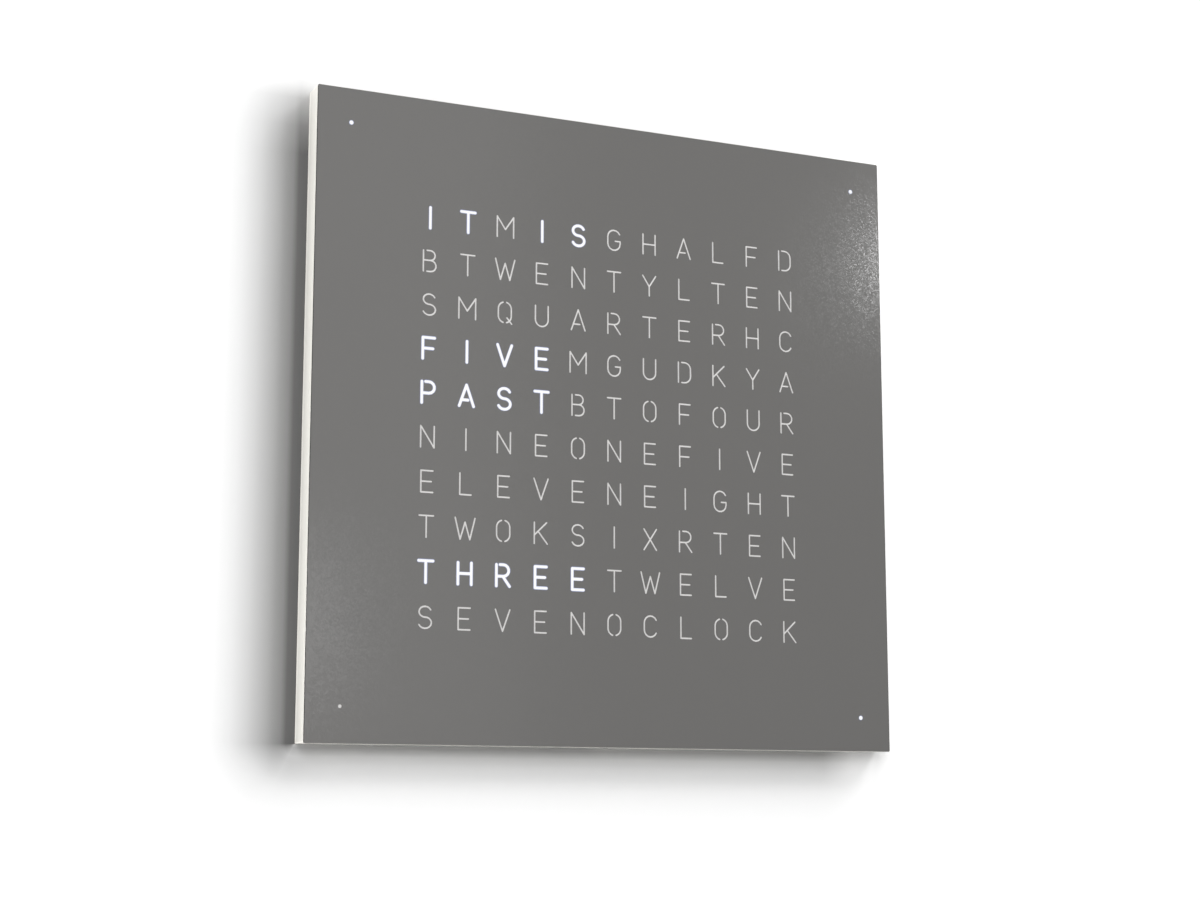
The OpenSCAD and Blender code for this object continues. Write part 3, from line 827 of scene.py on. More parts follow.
# A painted glow round the lit letters, laid over the coat on thin sheets.
LETTER_BLOOM = Shine("letter_bloom", (0.0, 0.0, 0.0), specular=0.0, light=(0.50, 0.58, 0.95),
                     strength=1.0, fades=True)
FINISHES = {f.name: f for f in (
    POWDER_COAT, CREAM_LACQUER, OPAL, BRIGHT_STEEL, ZINC_STEEL, NICKEL, BRASS, HARDBOARD, BARE_WOOD,
    WHITE_PLASTIC, WHITE_BOARD, LED_PACKAGE, BLACK_PLASTIC, GREY_CABLE, GREEN_BOARD, SLEEVE,
    RED_WIRE, BUTTON_PLASTIC)}


def dress(obj: bpy.types.Object, finish: Finish) -> None:
    """Gives every face of a piece one finish."""
    obj.data.materials.clear()
    obj.data.materials.append(finish.material())


def mount(
    obj: bpy.types.Object, body: Body, finish: Finish, *nodes: str, slot: str | None = None
) -> bpy.types.Object:
    """Dresses a finished piece, hangs it on its body and reports it.

    Args:
        obj: the piece.
        body: the body that it moves with.
        finish: its finish.
        nodes: the CAD nodes that it stands for.
        slot: the record's material slot, if it isn't the finish's own name. It is not used.

    Returns:
        The piece.
    """
    if not obj.data.materials or obj.data.materials[0] is None:
        dress(obj, finish)
    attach(obj, body.value)
    if nodes:
        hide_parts(*nodes)
    LOG.info("%s rides on %s: %d faces", obj.name, body.value, len(obj.data.polygons))
    return obj


# ---------------------------------------------------------------- letters


def arc(cx: float, cy: float, rx: float, ry: float, start: float, end: float, steps: int = 7) -> Stroke:
    """Returns points on an ellipse.

    Args:
        cx: its middle.
        cy: its middle.
        rx: its half width.
        ry: its half height.
        start: the first angle in degrees.
        end: the last angle in degrees.
        steps: the number of pieces between the points.

    Returns:
        The points.
    """
    turns = [math.radians(start + (end - start) * k / steps) for k in range(steps + 1)]
    return [(cx + rx * math.cos(t), cy + ry * math.sin(t)) for t in turns]


@dataclass(frozen=True)
class Letterforms:
    """Plain round-ended capitals of one stroke width, bridged so that no counter drops out.

    A glyph is a list of strokes on its centre line, with the letter's height as 1.
    """

    width: float = 0.66
    bridge: float = 0.18

    def glyph(self, letter: str) -> tuple[float, list[Stroke]]:
        """Draws one letter.

        Args:
            letter: the letter.

        Returns:
            Its width and its strokes.
        """
        w, g = self.width, self.bridge
        r = w / 2
        bowl = 0.27
        stem = [(0, 0), (0, 1)]
        round_bowl = [(g, 1), *arc(w - 0.04 - bowl, 1 - bowl, bowl, bowl, 90, -90), (0, 1 - 2 * bowl)]
        open_ring = [*arc(r, 1 - r, r, r, 25, 180), *arc(r, r, r, r, 180, 335)]
        glyphs: dict[str, tuple[float, list[Stroke]]] = {
            "A": (w + 0.06, [[(0, 0), (r + 0.03, 1)], [(r + 0.03, 1), (w + 0.06, 0)],
                             [(0.1, 0.29), (w - 0.04 - g, 0.29)]]),
            "B": (w - 0.03, [stem,
                             [(g, 1), *arc(w - 0.08 - 0.235, 0.765, 0.235, 0.235, 90, -90), (0, 0.53)],
                             [(w - 0.3, 0.53), *arc(w - 0.03 - 0.265, 0.265, 0.265, 0.265, 90, -90),
                              (g, 0)]]),
            "C": (w, [open_ring]),
            "D": (w, [stem, [(g, 1), *arc(w - 0.33, 0.67, 0.33, 0.33, 90, 0),
                             *arc(w - 0.33, 0.33, 0.33, 0.33, 0, -90), (g, 0)]]),
            "E": (w - 0.08, [stem, [(0, 1), (w - 0.08, 1)], [(0, 0.5), (w - 0.16, 0.5)],
                             [(0, 0), (w - 0.08, 0)]]),
            "F": (w - 0.08, [stem, [(0, 1), (w - 0.08, 1)], [(0, 0.49), (w - 0.16, 0.49)]]),
            "G": (w, [[*arc(r, 1 - r, r, r, 25, 180), *arc(r, r, r, r, 180, 360), (w, 0.46)],
                      [(w, 0.46), (w - 0.26, 0.46)]]),
            "H": (w, [stem, [(w, 0), (w, 1)], [(0, 0.5), (w, 0.5)]]),
            "I": (0.0, [stem]),
            "K": (w, [stem, [(0, 0.4), (w - 0.04, 1)], [(0.2, 0.57), (w, 0)]]),
            "L": (w - 0.1, [[(0, 1), (0, 0)], [(0, 0), (w - 0.1, 0)]]),
            "M": (0.84, [stem, [(0, 1), (0.42, 0.38)], [(0.42, 0.38), (0.84, 1)], [(0.84, 1), (0.84, 0)]]),
            "N": (w, [stem, [(0, 1), (w, 0)], [(w, 0), (w, 1)]]),
            "O": (w, self._ring()),
            "P": (w - 0.04, [stem, round_bowl]),
            "Q": (w, [*self._ring(), [(0.44, 0.24), (w + 0.02, -0.04)]]),
            "R": (w, [stem, round_bowl, [(w - 0.34, 1 - 2 * bowl), (w, 0)]]),
            "S": (w - 0.04, [[*arc(0.31, 0.755, 0.29, 0.245, 22, 180),
                              *arc(0.31, 0.755, 0.29, 0.245, 180, 262)[1:],
                              *arc(0.31, 0.255, 0.31, 0.255, 82, 0),
                              *arc(0.31, 0.255, 0.31, 0.255, 0, -158)[1:]]]),
            "T": (w + 0.04, [[(0, 1), (w + 0.04, 1)], [(r + 0.02, 1), (r + 0.02, 0)]]),
            "U": (w, [[(0, 1), *arc(r, r, r, r, 180, 360, 12), (w, 1)]]),
            "V": (w + 0.06, [[(0, 1), (r + 0.03, 0)], [(r + 0.03, 0), (w + 0.06, 1)]]),
            "W": (0.98, [[(0, 1), (0.25, 0)], [(0.25, 0), (0.49, 0.8)], [(0.49, 0.8), (0.73, 0)],
                         [(0.73, 0), (0.98, 1)]]),
            "X": (w, [[(0, 0), (w, 1)], [(0, 1), (w, 0)]]),
            "Y": (w + 0.04, [[(0, 1), (r + 0.02, 0.46)], [(w + 0.04, 1), (r + 0.02, 0.46)],
                             [(r + 0.02, 0.46), (r + 0.02, 0)]]),
        }
        return glyphs[letter]

    def _ring(self) -> list[Stroke]:
        """Draws a tall ring in two halves, bridged at its top and its foot.

        Returns:
            The two halves.
        """
        r = self.width / 2
        lean = math.degrees(math.asin(self.bridge / 2 / r))
        left = [*arc(r, 1 - r, r, r, 90 + lean, 180), *arc(r, r, r, r, 180, 270 - lean)]
        right = [*arc(r, r, r, r, 270 + lean, 360), *arc(r, 1 - r, r, r, 0, 90 - lean)]
        return [left, right]


def outline(points: Sequence[Point], radius: float, cap_steps: int = 6) -> list[Point]:
    """Returns the outline of a round-ended stroke along a line without sharp turns.

    Args:
        points: the stroke's centre line.
        radius: half the stroke's width.
        cap_steps: pieces in each round end.

    Returns:
        The outline's corners, anticlockwise.
    """
    kept = [points[0]]
    for point in points[1:]:
        if math.dist(point, kept[-1]) > 1e-4:
            kept.append(point)
    line = np.array(kept, float)
    steps = np.diff(line, axis=0)
    steps /= np.linalg.norm(steps, axis=1)[:, None]
    ways = np.vstack([steps[:1], steps[:-1] + steps[1:], steps[-1:]])
    ways /= np.linalg.norm(ways, axis=1)[:, None]
    normals = np.column_stack([-ways[:, 1], ways[:, 0]])
    stretch = np.ones(len(line))
    stretch[1:-1] = 1 / np.sqrt(np.clip((1 + np.sum(steps[:-1] * steps[1:], axis=1)) / 2, 0.5, 1))
    sides = normals * (radius * stretch)[:, None]

    def cap(middle: np.ndarray, way: np.ndarray) -> list[Point]:
        """Draws one round end.

        Args:
            middle: the end of the centre line.
            way: the way that the end points.

        Returns:
            The corners between its two sides.
        """
        start = math.atan2(way[1], way[0]) - math.pi / 2
        turns = [start + math.pi * k / cap_steps for k in range(1, cap_steps)]
        return [(middle[0] + radius * math.cos(t), middle[1] + radius * math.sin(t)) for t in turns]

    right = [tuple(p) for p in line - sides]
    left = [tuple(p) for p in (line + sides)[::-1]]
    return [*right, *cap(line[-1], ways[-1]), *left, *cap(line[0], -ways[0])]


@dataclass
class LetterField:
    """The words of the clock: which letter stands where, and which of them shine."""

    pitch: Point = (28.33, 31.0)
    height: float = 14.9
    stroke: float = 1.2
    dot_at: float = 200.6
    dot_d: float = 2.5
    forms: Letterforms = field(default_factory=Letterforms)
    rows: tuple[str, ...] = (
        "ITMISGHALFD", "BTWENTYLTEN", "SMQUARTERHC", "FIVEMGUDKYA", "PASTBTOFOUR",
        "NINEONEFIVE", "ELEVENEIGHT", "TWOKSIXRTEN", "THREETWELVE", "SEVENOCLOCK")
    lit: tuple[tuple[int, int, int], ...] = ((0, 0, 2), (0, 3, 5), (3, 0, 4), (4, 0, 4), (8, 0, 5))
    lit_dots: tuple[Point, ...] = ((-1, 1), (1, 1), (1, -1))

    def middle(self, row: int, column: int) -> Point:
        """Returns the middle of a letter's place."""
        return ((column - (len(self.rows[0]) - 1) / 2) * self.pitch[0],
                ((len(self.rows) - 1) / 2 - row) * self.pitch[1])

    def strokes(self, row: int, column: int) -> list[Stroke]:
        """Places one letter's strokes where it stands on the cover.

        Args:
            row: its row, from the top.
            column: its column, from the left.

        Returns:
            The strokes.
        """
        width, lines = self.forms.glyph(self.rows[row][column])
        x, y = self.middle(row, column)
        return [[(x + (px - width / 2) * self.height, y + (py - 0.5) * self.height)
                 for px, py in line] for line in lines]

    def places(self, lit_only: bool = False) -> list[tuple[int, int]]:
        """Lists the letters' places.

        Args:
            lit_only: whether only the lit ones are wanted.

        Returns:
            The row and column of each.
        """
        if lit_only:
            return [(row, c) for row, start, end in self.lit for c in range(start, end)]
        return [(r, c) for r, row in enumerate(self.rows) for c in range(len(row))]

    def prisms(
        self, name: str, lines: Sequence[Sequence[Point]], radius: float, low: float, high: float
    ) -> bpy.types.Object:
        """Stands the outlines of strokes up as straight-walled bars.

        Args:
            name: the object's name.
            lines: the strokes' centre lines.
            radius: half their width.
            low: their lower end off the wall.
            high: their upper end off the wall.

        Returns:
            One object that holds all the bars.
        """
        corners: list[Vector] = []
        faces: list[list[int]] = []
        for line in lines:
            edge = outline(line, radius) if len(line) > 1 else arc(*line[0], radius, radius, 0, 337.5, 15)
            faces.append([len(corners) + k for k in range(len(edge))])
            corners += [hang(x, y, low) for x, y in edge]
        mesh = bpy.data.meshes.new(name)
        mesh.from_pydata(corners, [], faces)
        obj = bpy.data.objects.new(name, mesh)
        bpy.context.scene.collection.objects.link(obj)
        with editing(obj):
            bpy.ops.mesh.select_all(action="SELECT")
            bpy.ops.mesh.extrude_region_move(
                TRANSFORM_OT_translate={"value": (0, -(high - low) * MM, 0)})
            bpy.ops.mesh.select_all(action="SELECT")
            bpy.ops.mesh.normals_make_consistent(inside=False)
        return obj


# ---------------------------------------------------------------- cover


@dataclass
class Cover:
    """The steel cover with its letters cut out, and the light that shines through them."""

    letters: LetterField = field(default_factory=LetterField)
    side: float = 450.0
    corner_r: float = 1.0
    back: float = 19.0
    front: float = 20.0
    edge: float = 0.12
    skin: float = 0.03
    diffuser_t: float = 0.8
    diffuser_half: float = 208.0
    fill_gap: float = 0.02
    fill_below: float = 0.2
    bloom_core: float = 0.82
    bloom_reach: float = 0.62
    bloom_cell: float = 0.35

    def build(self) -> None:
        """Builds the cover's pieces."""
        self._plate()
        self._diffuser()
        self._light()
        self._bloom()

    def _plate(self) -> None:
        """Cuts the letters and the minute dots out of the plate."""
        half = self.side / 2
        plate = add_block(
            "cover_plate", hang(-half, -half, self.back), hang(half, half, self.front - self.skin))
        with editing(plate, "EDGE"):
            select_edges(plate, lambda a, b: abs(a.y - b.y) > 0.5 * MM)
            bpy.ops.mesh.bevel(offset=self.corner_r * MM, segments=5)
        lines = [line for place in self.letters.places() for line in self.letters.strokes(*place)]
        dots = [[(sx * self.letters.dot_at, sy * self.letters.dot_at)] for sx in (-1, 1) for sy in (-1, 1)]
        low, high = self.back - 1, self.front + 1
        cutter = self.letters.prisms("letter_cutter", lines, self.letters.stroke / 2, low, high)
        holes = self.letters.prisms("dot_cutter", dots, self.letters.dot_d / 2, low, high)
        cut_with(plate, join("cutter", [cutter, holes]))
        soften(plate, self.edge, steps=2, angle=40)
        bpy.ops.object.shade_flat()
        mount(plate, Body.COVER, POWDER_COAT, "front_cover")

    def _diffuser(self) -> None:
        """Moulds the opal sheet with the raised letters that fill the dark ones of the plate."""
        half, back = self.diffuser_half, self.back - self.diffuser_t
        sheet = add_block("opal_diffuser", hang(-half, -half, back), hang(half, half, self.back))
        lit = set(self.letters.places(True))
        lines = [line for place in self.letters.places() if place not in lit
                 for line in self.letters.strokes(*place)]
        raised = self.letters.prisms("raised", lines, self.letters.stroke / 2 - self.fill_gap,
                                     back + self.diffuser_t / 2, self.front - self.fill_below)
        dots = [[(sx * self.letters.dot_at, sy * self.letters.dot_at)]
                for sx in (-1, 1) for sy in (-1, 1) if (sx, sy) not in self.letters.lit_dots]
        studs = self.letters.prisms("studs", dots, self.letters.dot_d / 2 - self.fill_gap,
                                    back + self.diffuser_t / 2, self.front - self.fill_below)
        cut_with(sheet, join("raised", [raised, studs]), "UNION")
        bpy.ops.object.shade_flat()
        mount(sheet, Body.COVER, OPAL, "diffuser_sheet")

    def _light(self) -> None:
        """Stands a shining bar in every lit letter and dot."""
        lines = [line for place in self.letters.places(True) for line in self.letters.strokes(*place)]
        strips = self.letters.prisms("letter_lights", lines, self.letters.stroke / 2 - self.fill_gap,
                                     self.back + self.skin, self.front - self.fill_below)
        dots = [[(sx * self.letters.dot_at, sy * self.letters.dot_at)] for sx, sy in self.letters.lit_dots]
        spots = self.letters.prisms("dot_lights", dots, self.letters.dot_d / 2 - self.fill_gap,
                                    self.back + self.skin, self.front - self.fill_below)
        mount(join("letter_lights", [strips, spots]), Body.COVER, LETTER_LIGHT, slot="opal_film")

    def _bloom(self) -> None:
        """Lays the soft bloom of the lit letters over the coat round them: a painted glow on thin sheets.
        """
        reach = self.bloom_reach + self.letters.stroke / 2
        sheets = [self._sheet(self.letters.strokes(*place), reach, self.bloom_core)
                  for place in self.letters.places(True)]
        for sx, sy in self.letters.lit_dots:
            spot = (sx * self.letters.dot_at, sy * self.letters.dot_at)
            sheets.append(self._sheet([[spot, spot]], reach + 0.5, self.bloom_core + 0.5))
        bloom = join("letter_bloom", sheets)
        solid = bloom.modifiers.new("skin", "SOLIDIFY")
        solid.thickness = 0.01 * MM
        solid.offset = 0
        apply_all(bloom)
        mount(bloom, Body.COVER, LETTER_BLOOM, slot="opal_film")

    def _sheet(self, lines: list[Stroke], reach: float, core: float) -> bpy.types.Object:
        """Makes one letter's bloom: a fine sheet of painted glow that fades away from the strokes.

        Args:
            lines: the strokes.
            reach: where the glow ends, from the centre line.
            core: where the glow starts to fade.

        Returns:
            The sheet, with its glow attribute.
        """
        points = np.array([p for line in lines for p in line])
        low, high = points.min(0) - reach - 0.2, points.max(0) + reach + 0.2
        nx, ny = (max(2, int(math.ceil(s / self.bloom_cell))) for s in high - low)
        bpy.ops.mesh.primitive_grid_add(
            x_subdivisions=nx, y_subdivisions=ny, size=1,
            location=hang(*((low + high) / 2), self.front - self.skin / 2),
            rotation=(math.pi / 2, 0, 0))
        bpy.context.active_object.scale = (*((high - low) * MM), 1)
        sheet = named("bloom_sheet")
        flat = np.array([(v.co.x, v.co.z) for v in sheet.data.vertices]) / MM
        gap = np.full(len(flat), 1e9)
        for line in lines:
            for a, b in zip(np.array(line[:-1]), np.array(line[1:])):
                run = b - a
                length = max(float(run @ run), 1e-12)
                share = np.clip((flat - a) @ run / length, 0, 1)
                gap = np.minimum(gap, np.linalg.norm(flat - a - share[:, None] * run, axis=1))
        fade = np.clip((reach - gap) / (reach - core), 0, 1)
        glow = sheet.data.attributes.new("glow", "FLOAT", "POINT")
        glow.data.foreach_set("value", (fade * fade * (3 - 2 * fade)).astype(np.float32))
        with editing(sheet):
            shape = bmesh.from_edit_mesh(sheet.data)
            shape.verts.ensure_lookup_table()
            for face in shape.faces:
                face.select_set(all(fade[v.index] <= 0 for v in face.verts))
            bmesh.update_edit_mesh(sheet.data)
            bpy.ops.mesh.delete(type="FACE")
        return sheet


# ---------------------------------------------------------------- turned and bent pieces


def turned(
    name: str, base: Vector, axis: Axis, profile: Sequence[Point], sides: int = 28
) -> bpy.types.Object:
    """Turns a round piece: a disc that is drawn out and scaled, step by step, along its axis.

    Args:
        name: the piece's name.
        base: the point that heights are counted from, in the row frame.
        axis: the way that it points.
        profile: radius and height of each ring, in millimetres.
        sides: the number of its sides.

    Returns:
        The closed piece.
    """
    way = axis.way()
    radius, height = profile[0]
    bpy.ops.mesh.primitive_circle_add(
        vertices=sides, radius=radius * MM, fill_type="NGON",
        location=base + way * height * MM, rotation=axis.value)
    piece = named(name)
    with editing(piece):
        bpy.ops.mesh.select_all(action="SELECT")
        for next_radius, next_height in profile[1:]:
            bpy.ops.mesh.extrude_region_move(
                TRANSFORM_OT_translate={"value": way * (next_height - height) * MM})
            grow = next_radius / radius
            middle = base + way * next_height * MM
            bpy.ops.transform.resize(value=(grow, grow, grow), center_override=middle)
            radius, height = next_radius, next_height
        bpy.ops.mesh.select_all(action="SELECT")
        bpy.ops.mesh.normals_make_consistent(inside=False)
    bpy.ops.object.shade_smooth_by_angle(angle=math.radians(38))
    return piece


def tube(name: str, corners: Sequence[Vector], radius: float, bend: float) -> bpy.types.Object:
    """Bends a round wire through a list of corners.

    Args:
        name: the piece's name.
        corners: the corners of its way, in the row frame.
        radius: its radius in millimetres.
        bend: how far before a corner the bend starts, in millimetres.

    Returns:
        The wire as a mesh.
    """
    way = [corners[0]]
    for before, corner, after in zip(corners, corners[1:], corners[2:]):
        start = corner + (before - corner).normalized() * bend * MM
        end = corner + (after - corner).normalized() * bend * MM
        for k in range(9):
            t = k / 8
            way.append(start * (1 - t) ** 2 + corner * 2 * t * (1 - t) + end * t * t)
    way.append(corners[-1])
    curve = bpy.data.curves.new(name, "CURVE")
    curve.dimensions = "3D"
    curve.bevel_depth, curve.bevel_resolution, curve.use_fill_caps = radius * MM, 3, True
    spline = curve.splines.new("POLY")
    spline.points.add(len(way) - 1)
    for held, point in zip(spline.points, way):
        held.co = (*point, 1)
    obj = bpy.data.objects.new(name, curve)
    bpy.context.scene.collection.objects.link(obj)
    pick_object(obj)
    bpy.ops.object.convert(target="MESH")
    wire = bpy.context.active_object
    with editing(wire, "VERT"):
        bpy.ops.mesh.select_all(action="SELECT")
        bpy.ops.mesh.remove_doubles(threshold=2e-6)
        bpy.ops.mesh.normals_make_consistent(inside=False)
    bpy.ops.object.shade_smooth_by_angle(angle=math.radians(40))
    return wire


def spots(points: Sequence[Point], z: float, turn: float = 0.0) -> list[Matrix]:
    """Returns the places of pieces that stand at flat points, all at one height."""
    return [at(hang(x, y, z), turn) for x, y in points]


def four_sides(off: float, along: float) -> list[Point]:
    """Returns a point on each of the four sides, off the middle and along the side."""
    return [(off, along), (-along, off), (-off, -along), (along, -off)]


# ---------------------------------------------------------------- screws


class Head(Enum):
    """The kinds of screw head."""

    COUNTERSUNK = "countersunk"
    PAN = "pan"


@dataclass(frozen=True)
class Screw:
    """A cross-head screw. Its head's face is at zero, and its shaft goes off the wall."""

    name: str
    node: str
    diameter: float
    length: float
    head: Head
    places: tuple[Point, ...]
    z: float = 0.0
    head_t: float = 0.0
    from_front: bool = False
    thread: float = 0.6

    def build(self) -> None:
        """Models the screw once and drives a copy in at each place."""
        r = self.diameter / 2
        if self.head is Head.COUNTERSUNK:
            start, profile = r, [(2 * r - 0.25, 0.0), (2 * r - 0.06, 0.06), (2 * r, 0.16), (r * 0.94, r)]
        else:
            start = self.head_t
            profile = [(1.5 * r, 0.0), (1.84 * r, 0.25 * start), (2 * r, 0.62 * start), (2 * r, start),
                       (r * 0.94, start)]
        end = self.length - 0.8
        height = start + 0.9
        while height + self.thread < end:
            profile += [(r * 0.80, height), (r, height + self.thread * 0.5)]
            height += self.thread
        profile += [(r * 0.8, end), (r * 0.3, self.length)]
        screw = turned("screw", Vector((0, 0, 0)), Axis.OFF_WALL, profile, 20)
        arm, half, deep = 1.16 * r, 0.19 * r, 0.75 * r
        bars = [add_block("bar", hang(-a, -b, -0.5), hang(a, b, deep))
                for a, b in ((arm, half), (half, arm))]
        cut_with(screw, join("bars", bars))
        bpy.ops.object.shade_smooth_by_angle(angle=math.radians(38))
        turn = Matrix.Rotation(math.pi, 4, "X") if self.from_front else Matrix.Identity(4)
        made = [at(hang(x, y, self.z)) @ turn @ Matrix.Rotation(0.9 * k + 0.35, 4, "Y")
                for k, (x, y) in enumerate(self.places)]
        mount(copies(self.name, screw, made), Body.CASE, ZINC_STEEL, self.node)


@dataclass
class Fasteners:
    """Every screw of the case."""

    panel_at: float = 213.0
    panel_offsets: Point = (60.0, 175.0)
    grid_x: Point = (42.495, 127.485)
    grid_y: tuple[float, float, float] = (-124.0, 0.0, 124.0)
    hanger_x: float = 150.0
    hanger_out: float = 19.0
    hanger_y: float = 182.45
    board_x: Point = (177.0, 201.0)
    board_y: Point = (-74.0, 72.0)

    def build(self) -> None:
        """Drives the screws in."""
        panel = [p for off in self.panel_offsets for s in (-1, 1)
                 for p in four_sides(self.panel_at, s * off)]
        grid = [(s * x, y) for x in self.grid_x for s in (-1, 1) for y in self.grid_y]
        hanger = [(s * self.hanger_x + t * self.hanger_out, self.hanger_y)
                  for s in (-1, 1) for t in (-1, 1)]
        board = [(x, y) for x in self.board_x for y in self.board_y]
        Screw("panel_screws", "back_panel_screws", 3.0, 11.0, Head.COUNTERSUNK, tuple(panel)).build()
        Screw("light_grid_screws", "grid_screws", 2.5, 12.0, Head.COUNTERSUNK, tuple(grid)).build()
        Screw("hanging_screws", "hanger_screws", 3.0, 12.1, Head.PAN, tuple(hanger), z=0.4,
              head_t=1.1).build()
        Screw("controller_screws", "board_screws", 2.5, 4.725, Head.PAN, tuple(board), z=7.725,
              head_t=1.625, from_front=True, thread=0.5).build()


# ---------------------------------------------------------------- case


@dataclass
class Case:
    """The lacquered frame and what is let into it."""

    edge: float = 0.22
    magnet_at: float = 217.0
    magnet_along: float = 130.0
    magnet_z: float = 15.8
    contact_base: Place = (0, -172, 9.1)

    def build(self) -> None:
        """Builds the frame's pieces."""
        for side in ("top", "bottom", "left", "right"):
            piece = merged_copy(f"{side}_frame_side", f"frame_{side}_side")
            mount(soften(piece, self.edge, 2, 30), Body.CASE, CREAM_LACQUER, f"frame_{side}_side")
        magnet = turned("magnet", Vector((0, 0, 0)), Axis.OFF_WALL, [
            (4.75, 0), (5, 0.25), (5, 2.75), (4.88, 2.94), (4.7, 3.0), (0.4, 3.0)], 32)
        places = [p for s in (-1, 1) for p in four_sides(self.magnet_at, s * self.magnet_along)]
        mount(copies("magnets", magnet, spots(places, self.magnet_z)), Body.CASE, NICKEL, "cover_magnets")
        for name, node, width, finish in (
                ("flanged_bushes", "pin_bushes", 0.25, BRASS),
                ("hanging_plates", "hanger_plates", 0.3, ZINC_STEEL),
                ("plug_tray", "cable_tray", 0.35, BLACK_PLASTIC),
                ("hex_nut", "socket_nut", 0.22, NICKEL),
                ("barrel_socket", "power_socket", 0.25, BLACK_PLASTIC),
                ("rail", "hanger_rail", 0.5, BARE_WOOD),
                ("diffusing_tubes", "corner_light_tubes", 0.2, WHITE_PLASTIC)):
            mount(soften(merged_copy(name, node), width, 2, 30), Body.CASE, finish, node)
        pins = soften(merged_copy("locating_pins", "cover_pins"), 0.3, 3, 20)
        mount(pins, Body.COVER, BRIGHT_STEEL, "cover_pins")
        contact = turned("contact_pin", hang(*self.contact_base), Axis.DOWN, [
            (1.05, 0), (1.05, 8.1), (0.9, 8.6), (0.45, 9.0)], 20)
        mount(contact, Body.CASE, BRASS, "socket_pin")


# ---------------------------------------------------------------- lights and electronics


@dataclass
class LightPackages:
    """The small lights on the boards: a white package, a yellow window and two solder feet."""

    size: Place = (3.5, 2.8, 1.4)
    foot: float = 0.5
    z: float = 4.6
    window_r: float = 1.1
    corner_at: float = 200.6
    letters: LetterField = field(default_factory=LetterField)

    def build(self) -> None:
        """Builds the lights of the letters and of the minute dots."""
        letters = [self.letters.middle(*place) for place in self.letters.places()]
        corners = [(sx * self.corner_at, sy * self.corner_at) for sx in (-1, 1) for sy in (-1, 1)]
        for title, node, points in (
                ("letter", "led_chips", letters), ("corner", "corner_led_chips", corners)):
            self._packages(title, node, points)

    def _packages(self, title: str, node: str, points: Sequence[Point]) -> None:
        """Models one light and copies it.

        Args:
            title: what the pieces' names start with.
            node: the CAD node that they stand for.
            points: where the lights are.
        """
        half_w, half_h, t = self.size[0] / 2, self.size[1] / 2, self.size[2]
        body = add_block("package", hang(-half_w + 0.1, -half_h, 0.05), hang(half_w - 0.1, half_h, t - 0.1))
        with editing(body):
            select_faces(body, lambda middle, normal: normal.y < -0.9)
            bpy.ops.mesh.inset(thickness=0.28 * MM)
            bpy.ops.mesh.extrude_region_move(TRANSFORM_OT_translate={"value": hang(0, 0, -0.2)})
        soften(body, 0.07, 1, 40)
        mount(copies(f"{title}_packages", body, spots(points, self.z)), Body.CASE, WHITE_PLASTIC, node,
              slot="led_package")
        window = turned("window", hang(0, 0, t - 0.32), Axis.OFF_WALL, [
            (self.window_r, 0), (self.window_r, 0.12), (self.window_r * 0.7, 0.26),
            (self.window_r * 0.2, 0.3)], 12)
        mount(copies(f"{title}_windows", window, spots(points, self.z)), Body.CASE, LED_PACKAGE)
        feet = []
        for side in (-1, 1):
            inner = hang(side * (half_w - self.foot), 0.9, 0.35)
            foot = add_block("foot", hang(side * half_w, -0.9, 0), inner)
            feet.append(soften(foot, 0.06, 1, 40))
        mount(copies(f"{title}_solder_feet", join("feet", feet), spots(points, self.z)), Body.CASE, SOLDER,
              slot="led_package")


@dataclass
class Chip:
    """A flat black chip with bent legs."""

    name: str
    node: str
    middle: Point
    size: Place
    legs: int
    all_round: bool
    z: float = 6.1
    reach: float = 0.95
    leg_w: float = 0.3

    def build(self) -> None:
        """Moulds the body and sets the legs along its edges."""
        (x, y), (w, h, t) = self.middle, self.size
        half_w, half_h = w / 2 - self.reach, h / 2 - (self.reach if self.all_round else 0.15)
        body = add_block("body", hang(x - half_w, y - half_h, self.z + 0.15),
                         hang(x + half_w, y + half_h, self.z + t))
        with editing(body):
            select_faces(body, lambda middle, normal: abs(normal.y) > 0.9)
            bpy.ops.transform.resize(value=(0.97, 1, 0.97), center_override=hang(x, y, 0))
        mark = turned("mark", hang(x - half_w + 0.9, y + half_h - 0.9, self.z + t - 0.08), Axis.OFF_WALL,
                      [(0.35, 0), (0.42, 0.5)], 16)
        cut_with(body, mark)
        body.name = self.name
        mount(soften(body, 0.08, 1, 40), Body.CASE, BLACK_PLASTIC, self.node)
        leg = add_block("leg", hang(-0.45, -self.leg_w / 2, 0), hang(0, self.leg_w / 2, 0.14))
        with editing(leg):
            select_faces(leg, lambda middle, normal: normal.x < -0.9)
            for step in (hang(-0.22, 0, 0.5), hang(-0.45, 0, 0.04)):
                bpy.ops.mesh.extrude_region_move(TRANSFORM_OT_translate={"value": step})
        places = []
        for turn in range(0, 4, 1 if self.all_round else 2):
            out, side = (w / 2, half_h) if turn % 2 == 0 else (h / 2, half_w)
            for k in range(self.legs):
                along = (k - (self.legs - 1) / 2) * (2 * side - 0.9) / (self.legs - 1)
                spin = Matrix.Rotation(-turn * math.pi / 2, 4, "Y")
                places.append(at(hang(x, y, self.z)) @ spin @ Matrix.Translation(hang(out, along, 0)))
        mount(copies(f"{self.name}_legs", leg, places), Body.CASE, SOLDER, slot="nickel")


